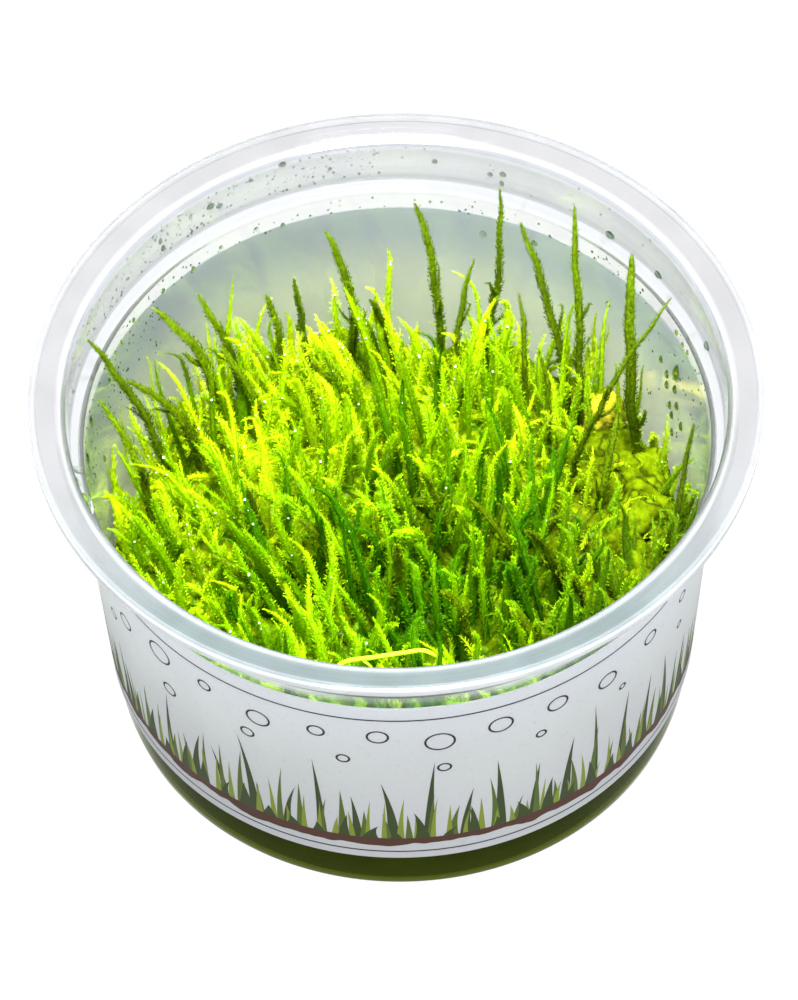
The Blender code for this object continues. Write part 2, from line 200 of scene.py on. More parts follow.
class Finish:
    """A material being made, node by node. Each method places nodes and gives the socket of their result."""

    def __init__(self, name):
        self.material = bpy.data.materials.new(name)
        self.material.use_nodes = True
        self.tree = self.material.node_tree
        self.tree.nodes.clear()

    def add(self, kind, inputs=None, **settings):
        """Places a node. Each input is joined to the socket or set to the value given for it, and a colour is
        given as red, green and blue."""
        node = self.tree.nodes.new("ShaderNode" + kind)
        for key, value in settings.items():
            setattr(node, key, value)
        for key, value in (inputs or {}).items():
            socket = node.inputs[key]
            if isinstance(value, bpy.types.NodeSocket):
                self.tree.links.new(value, socket)
            else:
                socket.default_value = (*value, 1.0) if socket.type == "RGBA" else value
        return node

    def maths(self, operation, *values):
        """One arithmetic step."""
        return self.add("Math", dict(enumerate(values)), operation=operation).outputs[0]

    def chain(self, operation, values):
        """The same step from the first value to the second, from their result to the third, and so on."""
        result = values[0]
        for value in values[1:]:
            result = self.maths(operation, result, value)
        return result

    def times(self, *factors):
        """The product of all the factors."""
        return self.chain("MULTIPLY", factors)

    def plus(self, *terms):
        """The sum of all the terms."""
        return self.chain("ADD", terms)

    def minus(self, first, second):
        """The first value less the second."""
        return self.maths("SUBTRACT", first, second)

    def off(self, value, middle):
        """How far a value lies from a middle, either way."""
        return self.maths("ABSOLUTE", self.minus(value, middle))

    def between(self, value, low, high, to_low=0.0, to_high=1.0):
        """Carries a value from one range to another and stops it at the ends."""
        inputs = {0: value, 1: low, 2: high, 3: to_low, 4: to_high}
        return self.add("MapRange", inputs).outputs[0]

    def along(self, share, low, high):
        """What lies at a share of the way from low to high."""
        return self.between(share, 0.0, 1.0, low, high)

    def blend(self, factor, first, second, kind="MIX"):
        """Two colours mixed."""
        inputs = {0: factor, 6: first, 7: second}
        return self.add("Mix", inputs, data_type="RGBA", blend_type=kind).outputs[2]

    def place(self):
        """Where a point lies in the object's own frame."""
        return self.add("TexCoord").outputs["Object"]

    def axes(self, vector):
        """The three parts of a vector, along X, Y and Z."""
        return tuple(self.add("SeparateXYZ", {"Vector": vector}).outputs)

    def tint(self):
        """The colour that the mesh carries at a point."""
        return self.add("Attribute", attribute_name="tint", attribute_type="GEOMETRY").outputs["Color"]

    def noise(self, vector, scale, detail=2.0, roughness=0.5):
        """Soft noise from 0 to 1, in lumps of about 1 / scale metres."""
        inputs = {"Vector": vector, "Scale": scale, "Detail": detail, "Roughness": roughness}
        return self.add("TexNoise", inputs).outputs["Fac"]

    def bump(self, height, distance, strength=1.0):
        """A normal tilted by the slope of a height, which is given as a share of a distance."""
        inputs = {"Height": height, "Distance": distance, "Strength": strength}
        return self.add("Bump", inputs).outputs["Normal"]

    def lit_through(self, share, surface, tone):
        """A surface mixed with a share of light that comes through from its other side, in a tone."""
        through = self.add("BsdfTranslucent", {"Color": tone})
        return self.add("MixShader", {0: share, 1: surface.outputs[0], 2: through.outputs[0]})

    def done(self, shader):
        """The material, with a shader for its surface."""
        self.add("OutputMaterial", {"Surface": shader.outputs[0]})
        return self.material


# The spacing of the mould's rings in the plastic, the height of the ledge's middle, the radius of the collar's
# edge under the rim, and the heights between which the back of the collar grows milky
MOULD_RINGS = 0.85 * MM
LEDGE_MIDDLE = 53.3 * MM
COLLAR_EDGE = 45.75 * MM
MILKY_FROM, MILKY_TO = 54.5 * MM, 55.5 * MM


def clear_plastic(name, ior, wall, stain=0.0):
    """Thin moulded plastic: clear, and milkier in the collar, in the rim and most in its lip, with fine rings
    from the mould. Transmission is 1 - milk x streaks, the milk being a sum with a term for each place. A stain
    is a share of milkiness all over."""
    finish = Finish(name)
    place = finish.place()
    x, y, z = finish.axes(place)
    flat = finish.add("CombineXYZ", {"X": x, "Y": y}).outputs[0]
    radius = finish.add("VectorMath", {0: flat}, operation="LENGTH").outputs["Value"]

    rings = finish.maths("SINE", finish.times(radius, 2 * math.pi / MOULD_RINGS))
    inner = finish.between(radius, RIM_RADIUS - 1.2 * MM, RIM_RADIUS - 0.6 * MM, 0.25, 0.0)
    swell = finish.times(finish.noise(place, 90), inner, 4.0)
    relief = finish.plus(finish.times(rings, inner), swell)

    behind = finish.between(y, -0.3 * RIM_RADIUS, 0.2 * RIM_RADIUS)
    at_front = finish.between(y, -0.2 * RIM_RADIUS, -0.75 * RIM_RADIUS)
    in_collar = finish.between(z, LABEL_TOP - 0.3 * MM, LABEL_TOP + 1.5 * MM)
    on_ledge = finish.between(finish.off(z, LEDGE_MIDDLE), 0.9 * MM, 0.5 * MM)
    on_edge = finish.between(finish.off(radius, COLLAR_EDGE), 0.5 * MM, 0.2 * MM)
    in_rim = finish.between(radius, RIM_RADIUS - 5 * MM, RIM_RADIUS - 3.5 * MM)
    outermost = finish.between(radius, RIM_RADIUS - 1.0 * MM, RIM_RADIUS - 0.4 * MM)
    in_lip = finish.times(outermost, finish.between(z, TUB_HEIGHT, TUB_HEIGHT - 0.3 * MM))
    # Painted shade: the lines at the ledge and at the collar's edge under the rim are darker, and the rim's tone
    # is darker at its front
    tones = [
        (in_collar, finish.blend(behind, (0.79, 0.80, 0.815), (0.87, 0.875, 0.885))),
        (on_ledge, (0.66, 0.675, 0.69)),
        (finish.times(in_collar, on_edge), (0.36, 0.38, 0.41)),
        (in_rim, finish.blend(at_front, (0.345, 0.343, 0.35), (0.122, 0.15, 0.154))),
        (in_lip, (0.50, 0.52, 0.53)),
    ]
    tone = wall
    for where, colour_there in tones:
        tone = finish.blend(where, tone, colour_there)

    misted = finish.times(
        in_collar,
        finish.maths("LESS_THAN", z, LABEL_TOP + 5 * MM),
        finish.between(y, -0.3 * RIM_RADIUS, -0.5 * RIM_RADIUS),
        finish.between(finish.maths("ABSOLUTE", x), 6 * MM, 14 * MM, 0.15, 1.0),
    )
    over_ledge = finish.times(behind, finish.between(z, MILKY_FROM, MILKY_TO))
    milk = finish.plus(
        finish.along(in_collar, stain, 0.05),
        finish.times(misted, 0.45),
        finish.times(in_rim, finish.along(at_front, 0.15, 0.4)),
        finish.times(in_lip, 0.22),
        finish.times(over_ledge, finish.along(in_rim, 0.085, 0.0)),
    )
    streaks = finish.between(finish.noise(place, 160, 3.0), 0.3, 0.7, 0.88, 1.12)
    haze = finish.between(finish.noise(place, 260, 3.0), 0.35, 0.7, 0.03, 0.09)
    shader = finish.add("BsdfPrincipled", {
        "Base Color": tone,
        "Roughness": finish.plus(haze, finish.times(in_rim, 0.06)),
        "IOR": ior,
        "Transmission Weight": finish.minus(1.0, finish.times(milk, streaks)),
        "Specular IOR Level": 0.3,
        "Normal": finish.bump(relief, 0.05 * MM, 0.5),
    })
    return finish.done(shader)


def row_of_cells(finish, around, cell):
    """Equal cells side by side round the label: how far across from its cell's middle a point is, and the three
    random draws of its cell."""
    step = finish.maths("DIVIDE", around, cell)
    across = finish.times(finish.minus(finish.maths("FRACT", step), 0.5), cell)
    chance = finish.add("TexWhiteNoise", {"W": finish.maths("FLOOR", step)}, noise_dimensions="1D")
    return across, finish.add("SeparateColor", {"Color": chance.outputs["Color"]}).outputs


def blade_mask(finish, around, height, cell, ground, shortest, tallest, widest):
    """Grass blades: in each cell one blade, |x - lean t^2| < width (1 - t), t being the share of its height."""
    across, draws = row_of_cells(finish, around, cell)
    tall = finish.along(draws[0], shortest, tallest)
    lean = finish.along(draws[1], -0.34 * cell, 0.34 * cell)
    wide = finish.along(draws[2], 0.6 * widest, widest)
    part = finish.maths("DIVIDE", finish.minus(height, ground), tall)
    bent = finish.times(lean, finish.maths("POWER", finish.maths("MAXIMUM", part, 0.0), 2.0))
    room = finish.times(wide, finish.minus(1.0, part))
    inside = finish.maths("LESS_THAN", finish.off(across, bent), room)
    return finish.times(inside, finish.maths("GREATER_THAN", height, ground))


def bubble_mask(finish, around, height, cell, middle, swing, smallest, biggest, line):
    """Bubbles: in each cell one ring, |distance to its middle - radius| < half a line."""
    across, draws = row_of_cells(finish, around, cell)
    radius = finish.along(draws[0], smallest, biggest)
    upward = finish.minus(height, finish.along(draws[1], middle - swing, middle + swing))
    square = finish.plus(finish.times(across, across), finish.times(upward, upward))
    return finish.maths("LESS_THAN", finish.off(finish.maths("SQRT", square), radius), 0.5 * line)


def rule_mask(finish, height, middle, line):
    """A thin level line round the label: |height - middle| < half a line."""
    return finish.maths("LESS_THAN", finish.off(height, middle), 0.5 * line)


# The printed border: how far the ground line's top and the two rules lie from the label's edges, and the width
# of a line
GROUND = 5.2 * MM
TOP_RULE, BOTTOM_RULE = 3.0 * MM, 1.7 * MM
LINE = 0.32 * MM
# Rows of grass: colour, cell, and shortest, tallest and widest blade
GRASS = [
    ("old_blade", 5.1 * MM, 10 * MM, 21 * MM, 1.0 * MM),
    ("mid_blade", 3.1 * MM, 6 * MM, 15 * MM, 0.8 * MM),
    ("new_blade", 2.3 * MM, 4 * MM, 11 * MM, 0.6 * MM),
    ("old_blade", 3.7 * MM, 2 * MM, 8 * MM, 1.2 * MM),
]
# Rows of bubbles: cell, how far their middle lies under the label's top, its swing, and smallest and biggest
# radius
BUBBLES = [
    (8.3 * MM, 8 * MM, 1.6 * MM, 0.8 * MM, 2.1 * MM),
    (13.7 * MM, 14 * MM, 2.2 * MM, 0.5 * MM, 1.2 * MM),
]


def label_film(sizes):
    """White satin film, a little specked, that lets light through. Outside it has a plain printed border: rows
    of grass on a ground line, rings of bubbles and two rules, on film that darkens towards its bottom, a painted
    shade. Inside its colours are painted light and shade: darker than the film, lit green by the moss low down
    and lighter towards the right."""
    finish = Finish("label_film")
    place = finish.place()
    x, y, height = finish.axes(place)
    mean_radius = 0.5 * (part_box("label")[1].x + outer_radius(LABEL_BOTTOM))
    around = finish.times(finish.maths("ARCTAN2", y, x), mean_radius)
    ground = LABEL_BOTTOM + GROUND

    # Painted shade: the film darkens towards its bottom
    fade = finish.between(height, LABEL_BOTTOM, LABEL_TOP)
    printed = finish.blend(fade, sizes.film_painted_shade, sizes.film)
    specks = finish.between(finish.noise(place, 1500, 1.0), 0.66, 0.72, 0.0, 0.08)
    printed = finish.blend(specks, printed, sizes.ink)
    for blade, cell, shortest, tallest, widest in GRASS:
        mask = blade_mask(finish, around, height, cell, ground, shortest, tallest, widest)
        printed = finish.blend(mask, printed, getattr(sizes, blade))
    depth = finish.between(finish.noise(place, 160), 0.3, 0.7, 1.0 * MM, 2.6 * MM)
    earth = finish.times(finish.maths("LESS_THAN", height, ground),
                         finish.maths("GREATER_THAN", height, finish.minus(ground, depth)))
    printed = finish.blend(earth, printed, sizes.earth)
    marks = [bubble_mask(finish, around, height, cell, LABEL_TOP - down, swing, smallest, biggest, LINE)
             for cell, down, swing, smallest, biggest in BUBBLES]
    marks += [rule_mask(finish, height, middle, LINE)
              for middle in (LABEL_TOP - TOP_RULE, LABEL_BOTTOM + BOTTOM_RULE)]
    for mask in marks:
        printed = finish.blend(mask, printed, sizes.ink)

    # Painted light and shade on the inner side: darker than the film, lit green by the moss low down and lighter
    # towards the right
    painted_moss_light = finish.between(height, LABEL_TOP - 5 * MM, LABEL_TOP - 14 * MM)
    inside = finish.blend(painted_moss_light, sizes.inside_painted_shade, sizes.inside_painted_moss_light)
    lit = finish.between(x, -0.4 * RIM_RADIUS, 0.8 * RIM_RADIUS, 0.95, 1.15)
    inside = finish.blend(1.0, inside, lit, "MULTIPLY")
    normal = finish.add("NewGeometry").outputs["True Normal"]
    outwards = finish.add("VectorMath", {0: normal, 1: place}, operation="DOT_PRODUCT").outputs["Value"]
    tone = finish.blend(finish.maths("GREATER_THAN", outwards, 0.0), inside, printed)
    satin = finish.add("BsdfPrincipled", {
        "Base Color": tone,
        "Roughness": finish.between(finish.noise(place, 420), 0.3, 0.7, 0.36, 0.48),
        "Specular IOR Level": 0.4,
        "Normal": finish.bump(finish.noise(place, 55, 1.0), 0.12 * MM, 0.35),
    })
    return finish.done(finish.lit_through(sizes.through, satin, tone))


def gel_finish():
    """Set gel gone green: smooth, with cloudy patches and thin dark filaments, which lie where warped cells meet
    and the patches allow."""
    finish = Finish("gel")
    place = finish.place()
    cloud = finish.between(finish.noise(place, 75, 3.0), 0.35, 0.65)
    green = finish.blend(cloud, (0.10, 0.13, 0.001), (0.17, 0.21, 0.001))
    warp = finish.add("TexNoise", {"Vector": place, "Scale": 130.0, "Detail": 2.0}).outputs["Color"]
    bent = finish.add("VectorMath", {0: warp, 1: (0.012, 0.012, 0.012)}, operation="MULTIPLY").outputs[0]
    moved = finish.add("VectorMath", {0: place, 1: bent}, operation="ADD").outputs[0]
    cells = finish.add("TexVoronoi", {"Vector": moved, "Scale": 85.0}, feature="DISTANCE_TO_EDGE")
    thread = finish.between(cells.outputs["Distance"], 0.0, 0.035, 1.0, 0.0)
    patch = finish.between(finish.noise(place, 60, 1.0), 0.45, 0.6)
    filaments = finish.times(thread, finish.times(patch, 0.75))
    shader = finish.add("BsdfPrincipled", {
        "Base Color": finish.blend(filaments, green, (0.012, 0.022, 0.001)),
        "Roughness": finish.along(cloud, 0.2, 0.3),
        "Specular IOR Level": 0.0,
        "Normal": finish.bump(finish.noise(place, 240), 0.05 * MM, 0.4),
    })
    return finish.done(shader)


def glassy_gel():
    """Wet gel lit from within: the piece's own tints, clouded, with thin darker veins."""
    finish = Finish("glassy_gel")
    place = finish.place()
    cloud = finish.between(finish.noise(place, 420, 3.0, 0.65), 0.36, 0.64, 0.3, 1.4)
    tone = finish.blend(1.0, finish.tint(), cloud, "MULTIPLY")
    vein = finish.off(finish.noise(place, 190, 2.0, 0.45), 0.5)
    tone = finish.blend(finish.between(vein, 0.0, 0.035, 0.95, 0.0), tone, (0.03, 0.045, 0.002))
    gloss = finish.add("BsdfPrincipled", {
        "Base Color": tone,
        "Roughness": 0.25,
        "Specular IOR Level": 0.0,
        "Normal": finish.bump(finish.noise(place, 500), 0.15 * MM, 0.6),
    })
    return finish.done(finish.lit_through(0.45, gloss, tone))


def moss_finish(name, glow, grain, patchy=0.34):
    """Wet leaves: each leaf's own tint, made patchy by fine noise, with light through it and a thin gloss."""
    finish = Finish(name)
    place = finish.place()
    mottle = finish.between(finish.noise(place, grain), 0.3, 0.7, 0.96 - patchy, 0.96 + patchy)
    tone = finish.blend(1.0, finish.tint(), mottle, "MULTIPLY")
    leaf = finish.add("BsdfPrincipled", {
        "Base Color": tone,
        "Roughness": finish.between(finish.noise(place, 900, 1.0), 0.4, 0.62, 0.28, 0.55),
        "Specular IOR Level": 0.12,
        "Normal": finish.bump(finish.noise(place, 2.2 * grain, 1.0), 0.03 * MM, 0.5),
    })
    return finish.done(finish.lit_through(glow, leaf, tone))


def water(name, tone, roughness=0.0, clear=1.0):
    """Water, tinted a little: painted light of the moss that it gathers. What isn't clear of it is white."""
    finish = Finish(name)
    shader = finish.add("BsdfPrincipled", {
        "Base Color": tone,
        "Roughness": roughness,
        "IOR": 1.333,
        "Transmission Weight": clear,
    })
    return finish.done(shader)


def floor_finish(stage):
    """A plain matt light table, lit from below."""
    finish = Finish("pale_floor")
    shader = finish.add("BsdfPrincipled", {
        "Base Color": stage.floor_colour,
        "Roughness": 0.9,
        "Specular IOR Level": 0.1,
        "Emission Color": (1.0, 1.0, 1.0),
        "Emission Strength": stage.floor_light,
    })
    return finish.done(shader)


def unit(vectors):
    """Vectors of length one."""
    return vectors / np.maximum(np.linalg.norm(vectors, axis=-1, keepdims=True), 1e-12)


def ripple(x, y, size, seed):
    """A smooth swell of about -1 to 1: the sum of five sine waves about size long, in seeded directions."""
    rng = np.random.default_rng(seed)
    turn = rng.uniform(0, 2 * math.pi, 5)
    wavelength = size * rng.uniform(0.7, 1.5, 5)
    phase = rng.uniform(0, 2 * math.pi, 5)
    run = x[..., None] * np.cos(turn) + y[..., None] * np.sin(turn)
    return 0.45 * np.sin(2 * math.pi * run / wavelength + phase).sum(-1)


def grid_faces(rows, columns, ring):
    """Corner numbers of the quads of a grid of points, row by row. On a ring the last column joins the first."""
    row = np.arange(rows - 1)[:, None]
    column = np.arange(columns if ring else columns - 1)[None, :]
    beside = (column + 1) % columns
    corners = (row * columns + column, (row + 1) * columns + column,
               (row + 1) * columns + beside, row * columns + beside)
    return np.stack(np.broadcast_arrays(*corners), -1).reshape(-1, 4)


def fan_faces(ring, centre, turned_over):
    """Triangles from each edge of a ring of point numbers to a centre point."""
    beside = np.roll(ring, -1)
    pair = (beside, ring) if turned_over else (ring, beside)
    return np.stack((*pair, np.full_like(ring, centre)), -1)


def closed_faces(rows, columns, first_pole, last_pole, turned_over=False):
    """Faces of a closed body of rings: quads from ring to ring, and fans from the first and the last ring to
    the points with the poles' numbers."""
    quads = grid_faces(rows, columns, True)
    first = np.arange(columns)
    fans = (fan_faces(first, first_pole, turned_over),
            fan_faces(first + (rows - 1) * columns, last_pole, not turned_over))
    return [quads[:, ::-1] if turned_over else quads, np.concatenate(fans)]


def repeated(blocks, number, each):
    """Blocks of faces once more for each of a number of like bodies, which have so many points each."""
    first = np.arange(number)[:, None, None] * each
    return [(faces[None] + first).reshape(-1, faces.shape[1]) for faces in blocks]


def full_turn(steps):
    """Angles that part a full turn into equal steps."""
    return np.linspace(0, 2 * math.pi, steps, endpoint=False)


def round_axis(radius, turn, height):
    """Points (r cos a, r sin a, z), from a radius, turn and height that fit together as arrays."""
    return np.stack(np.broadcast_arrays(radius * np.cos(turn), radius * np.sin(turn), height), -1)


def build(name, points, faces, material, tints=None, sharp=None):
    """A piece at the origin from an array of points and arrays of faces, with each point's tint if given."""
    faces = [block for block in faces if len(block)]
    corners = np.concatenate([block.ravel() for block in faces])
    sizes = np.concatenate([np.full(len(block), block.shape[1]) for block in faces])
    starts = np.concatenate(([0], np.cumsum(sizes)[:-1]))
    mesh = bpy.data.meshes.new(name)
    mesh.vertices.add(len(points))
    mesh.vertices.foreach_set("co", np.ascontiguousarray(points, np.float32).ravel())
    mesh.loops.add(len(corners))
    mesh.loops.foreach_set("vertex_index", corners.astype(np.int32))
    mesh.polygons.add(len(sizes))
    mesh.polygons.foreach_set("loop_start", starts.astype(np.int32))
    mesh.update(calc_edges=True)
    if mesh.validate():
        raise RuntimeError(f"the mesh of {name} was not sound")
    if tints is not None:
        layer = mesh.attributes.new("tint", "FLOAT_COLOR", "POINT")
        full = np.concatenate((tints, np.ones((len(tints), 1))), 1)
        layer.data.foreach_set("color", full.astype(np.float32).ravel())
    if sharp is None:
        mesh.shade_flat()
    else:
        mesh.shade_smooth()
        mesh.set_sharp_from_angle(angle=sharp)
    mesh.materials.append(material)
    piece = bpy.data.objects.new(name, mesh)
    bpy.context.scene.collection.objects.link(piece)
    return piece


def stand_for(piece, nodes):
    """Puts a piece in the place of CAD nodes: it hangs on the root body and the nodes are hidden."""
    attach(piece, "root")
    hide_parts(*nodes)


def rounded(corners, fillets, steps=5):
    """A profile whose inner corners p are cut by curves (1-t)^2 a + 2t(1-t) p + t^2 b, a and b lying a
    fillet's length before and after p."""
    corners = np.array(corners, float)
    fillet = np.array(fillets, float)[:, None]
    middle = corners[1:-1]
    before = middle + unit(corners[:-2] - middle) * fillet
    after = middle + unit(corners[2:] - middle) * fillet
    t = np.linspace(0, 1, steps)[None, :, None]
    curve = (1 - t) ** 2 * before[:, None] + 2 * t * (1 - t) * middle[:, None] + t**2 * after[:, None]
    return np.concatenate((corners[:1], curve.reshape(-1, 2), corners[-1:]))


def turned(name, profile, steps, material, sharp):
    """A surface of revolution: (r cos a, r sin a, z) for each profile point (r, z) and turn a. The profile
    begins and ends on the axis, and has the solid on its right-hand side going along it."""
    ring = profile[1:-1]
    points = round_axis(ring[:, :1], full_turn(steps), ring[:, 1:]).reshape(-1, 3)
    poles = np.array([(0, 0, profile[0, 1]), (0, 0, profile[-1, 1])])
    faces = closed_faces(len(ring), steps, len(points), len(points) + 1)
    return build(name, np.concatenate((points, poles)), faces, material, sharp=sharp)


def outer_radius(height):
    """Outer radius of the tapered wall at a height: foot radius + height tan(taper)."""
    tub = bpy.context.scene.moss_tub
    return tub.foot_radius + height * math.tan(tub.taper)


def inner_radius(height):
    """Inner radius of the tub at heights: the tapered wall under the ledge, the flaring collar above it."""
    tub = bpy.context.scene.moss_tub
    wall = outer_radius(height) - tub.wall
    climb = np.clip((height - tub.ledge_height) / (TUB_HEIGHT - tub.rim_fall - tub.ledge_height), 0, 1)
    collar = tub.collar_radius + 2 * tub.flare * climb
    onto = np.clip((height - tub.ledge_height + tub.ledge_fall) / tub.ledge_fall, 0, 1)
    return wall + (collar - wall) * onto


def tub_profile(tub):
    """Half section of the tub: from the middle of its floor up the inside, over the rim, down the outside."""
    ledge_foot = tub.ledge_height - tub.ledge_fall
    rim_inner = TUB_HEIGHT - tub.rim_fall
    crease = TUB_HEIGHT - tub.crease_fall
    outside = tub.collar_radius + tub.collar
    step = tub.edge
    rows = [
        (0, tub.floor, None),
        (outer_radius(tub.floor) - tub.wall, tub.floor, tub.foot_round - tub.wall),
        (outer_radius(LABEL_BOTTOM) - tub.wall, LABEL_BOTTOM, step),
        (outer_radius(ledge_foot) - tub.wall, ledge_foot, 1.2 * step),
        (tub.collar_radius, tub.ledge_height, 1.2 * step),
        (tub.collar_radius + tub.flare, rim_inner - 1.7 * step, 0.8 * step),
        (tub.collar_radius + 2 * tub.flare, rim_inner, 0.7 * step),
        (tub.crease_radius, crease, step),
        (RIM_RADIUS - step, TUB_HEIGHT, 0.5 * step),
        (RIM_RADIUS, TUB_HEIGHT - step, 0.5 * step),
        (RIM_RADIUS, TUB_HEIGHT - tub.lip, 0.7 * step),
        (RIM_RADIUS - tub.rim, TUB_HEIGHT - tub.lip, 0.7 * step),
        (RIM_RADIUS - tub.rim, TUB_HEIGHT - tub.rim, 0.8 * step),
        (tub.crease_radius, crease - tub.rim, step),
        (outside + 2 * tub.flare, rim_inner - tub.rim, 0.7 * step),
        (outside + tub.flare, rim_inner - tub.rim - 1.7 * step, 0.7 * step),
        (outside, tub.ledge_height - step, 1.2 * step),
        (outer_radius(ledge_foot), ledge_foot - step, 1.2 * step),
        (outer_radius(LABEL_BOTTOM), LABEL_BOTTOM, step),
        (outer_radius(0), 0, tub.foot_round),
        (0, 0, None),
    ]
    return rounded([row[:2] for row in rows], [row[2] for row in rows[1:-1]])


def label_points(label):
    """The film's four edges at each step of its sweep: a point of radius r and height z at turn a."""
    half_seam = label.seam_width / 2 / outer_radius(LABEL_BOTTOM)
    turn = np.linspace(label.seam_at + half_seam, label.seam_at + 2 * math.pi - half_seam, label.steps + 1)
    low = outer_radius(LABEL_BOTTOM) + label.stand_off
    high = outer_radius(LABEL_TOP) + label.stand_off
    section = np.array([(high, LABEL_TOP), (low, LABEL_BOTTOM), (low + label.thick, LABEL_BOTTOM),
                        (high + label.thick, LABEL_TOP)])
    return round_axis(section[:, 0], turn[:, None], section[:, 1])


class MOSS_OT_tub(bpy.types.Operator):
    """Turns the clear tub"""

    bl_idname = "moss.tub"
    bl_label = "Clear tub"

    def execute(self, context):
        tub = context.scene.moss_tub
        plastic = clear_plastic("clear_plastic", 1.49, (0.93, 0.95, 0.96))
        beside_gel = clear_plastic("wet_plastic", 1.05, (0.08, 0.11, 0.001), stain=0.22)
        piece = turned("clear_tub", tub_profile(tub), tub.steps, plastic, math.radians(60))
        piece.data.materials.append(beside_gel)
        middles = np.empty(3 * len(piece.data.polygons), np.float32)
        piece.data.polygons.foreach_get("center", middles)
        wet = (middles[2::3] < LABEL_BOTTOM).astype(np.int32)
        piece.data.polygons.foreach_set("material_index", wet)
        stand_for(piece, ["tub"])
        return {"FINISHED"}


class MOSS_OT_label(bpy.types.Operator):
    """Wraps the printed film round the tub"""

    bl_idname = "moss.label"
    bl_label = "Label"

    def execute(self, context):
        label = context.scene.moss_label
        points = label_points(label).reshape(-1, 3)
        last = len(points) - 4
        ends = np.array([(0, 1, 2, 3), (last + 3, last + 2, last + 1, last)])
        piece = build("printed_label", points, [grid_faces(label.steps + 1, 4, True), ends],
                      label_film(label), sharp=math.radians(50))
        stand_for(piece, ["label"])
        return {"FINISHED"}


class MOSS_OT_gel(bpy.types.Operator):
    """Sets the green culture gel on the tub's floor"""

    bl_idname = "moss.gel"
    bl_label = "Culture gel"

    def execute(self, context):
        tub = context.scene.moss_tub
        side = inner_radius(GEL_CREST) - GEL_BOTTOM + tub.floor
        level = GEL_CREST - 0.5 * MM
        corners = [(0, level), (MAT_RADIUS, level), (side, GEL_CREST), (side - 0.6 * MM, GEL_BOTTOM),
                   (0, GEL_BOTTOM)]
        profile = rounded(corners, [0.4 * MM, 0.15 * MM, 3.2 * MM], 7)
        piece = turned("green_gel", profile, tub.steps, gel_finish(), math.radians(60))
        stand_for(piece, ["culture_gel"])
        return {"FINISHED"}


# A keeled leaf in shares of its length along it, of its width across it and of its length out from it
LEAF = np.array([(0, 0, 0.05), (0.42, 0.5, -0.05), (0.42, -0.5, -0.05), (1, 0, 0.03)])
LEAF_FACES = np.array([(0, 2, 3), (0, 3, 1), (0, 1, 2), (3, 2, 1)])
# Where a sprig's hook begins as a share of its length, and what is known of each sprig
HOOK_START = 0.8
SPRIG_FIELDS = ("path", "hook", "girth", "blunt", "taper", "leaf", "blade", "spread", "count", "tint",
                "tip_tint", "shade", "start", "roll")
# A sprig's body: its sides, and its width and its brightness as shares of those that its leaves are given
BODY_SIDES = 6
BODY_WIDTH = 0.78
BODY_LIGHT = 0.78
# The length of a long shoot's sway, and how far under its tip the sway is full
SWAY_LENGTH = 15 * MM
SWAY_GROWTH = 4 * MM
# The patch of gel at the right: its middle and its half width and depth
GEL_PATCH = np.array((30, 0.5)) * MM
GEL_PATCH_SIZE = np.array((10, 15)) * MM
# How much lower the turf and the shoots stand at the back edge, and the shoots where the gel shows
TURF_EDGE_FALL = 4 * MM
SHOOT_EDGE_FALL = 5.5 * MM
SHOOT_GEL_FALL = 4 * MM
# How far a side branch has gone along its parent and away from it at the four points of its path
BRANCH_BENDS = ((0, 0), (0.25, 0.22), (0.6, 0.42), (0.95, 0.45))
# Steps round the turf, and rings from its middle to its edge
TURF_STEPS = 168
TURF_RINGS = 64


def along_path(sprigs, owner, part):
    """Places and directions on the sprigs' curves: (1-s)^3 a + 3s(1-s)^2 b + 3s^2(1-s) c + s^3 d, to which the
    hook adds h q^2, q being the share of the last stretch; and the slope of this sum."""
    s = part[..., None]
    a, b, c, d = (sprigs["path"][owner][..., k, :] for k in range(4))
    hook = sprigs["hook"][owner]
    q = np.clip((s - HOOK_START) / (1 - HOOK_START), 0, 1)
    place = (1 - s) ** 3 * a + 3 * s * (1 - s) ** 2 * b + 3 * s**2 * (1 - s) * c + s**3 * d + hook * q**2
    slope = 3 * ((1 - s) ** 2 * (b - a) + 2 * s * (1 - s) * (c - b) + s**2 * (d - c))
    slope = slope + hook * 2 * q / (1 - HOOK_START)
    return place, unit(slope)


def frame_round(along, roll):
    """Two directions square to each direction and to each other, rolled about it."""
    side = unit(np.cross(along, SIDEWAYS))
    front = np.cross(along, side)
    roll = np.asarray(roll)[..., None]
    return np.cos(roll) * side + np.sin(roll) * front, np.cos(roll) * front - np.sin(roll) * side


def half_width(sprigs, owner, part):
    """Half the width of the sprigs: it swells from the foot over the first third and falls as (1-s^b)^taper, b
    being the sprig's bluntness."""
    swell = 0.5 + 0.5 * np.minimum(part / 0.3, 1)
    return sprigs["girth"][owner] * swell * (1 - part ** sprigs["blunt"][owner]) ** sprigs["taper"][owner]


def keep_inside(points, gap):
    """Draws points in towards the axis where they would come closer to the tub than the gap."""
    limit = inner_radius(points[:, 2]) - gap
    radius = np.hypot(points[:, 0], points[:, 1])
    points[:, :2] *= np.minimum(1, limit / np.maximum(radius, 1e-9))[:, None]
    return points


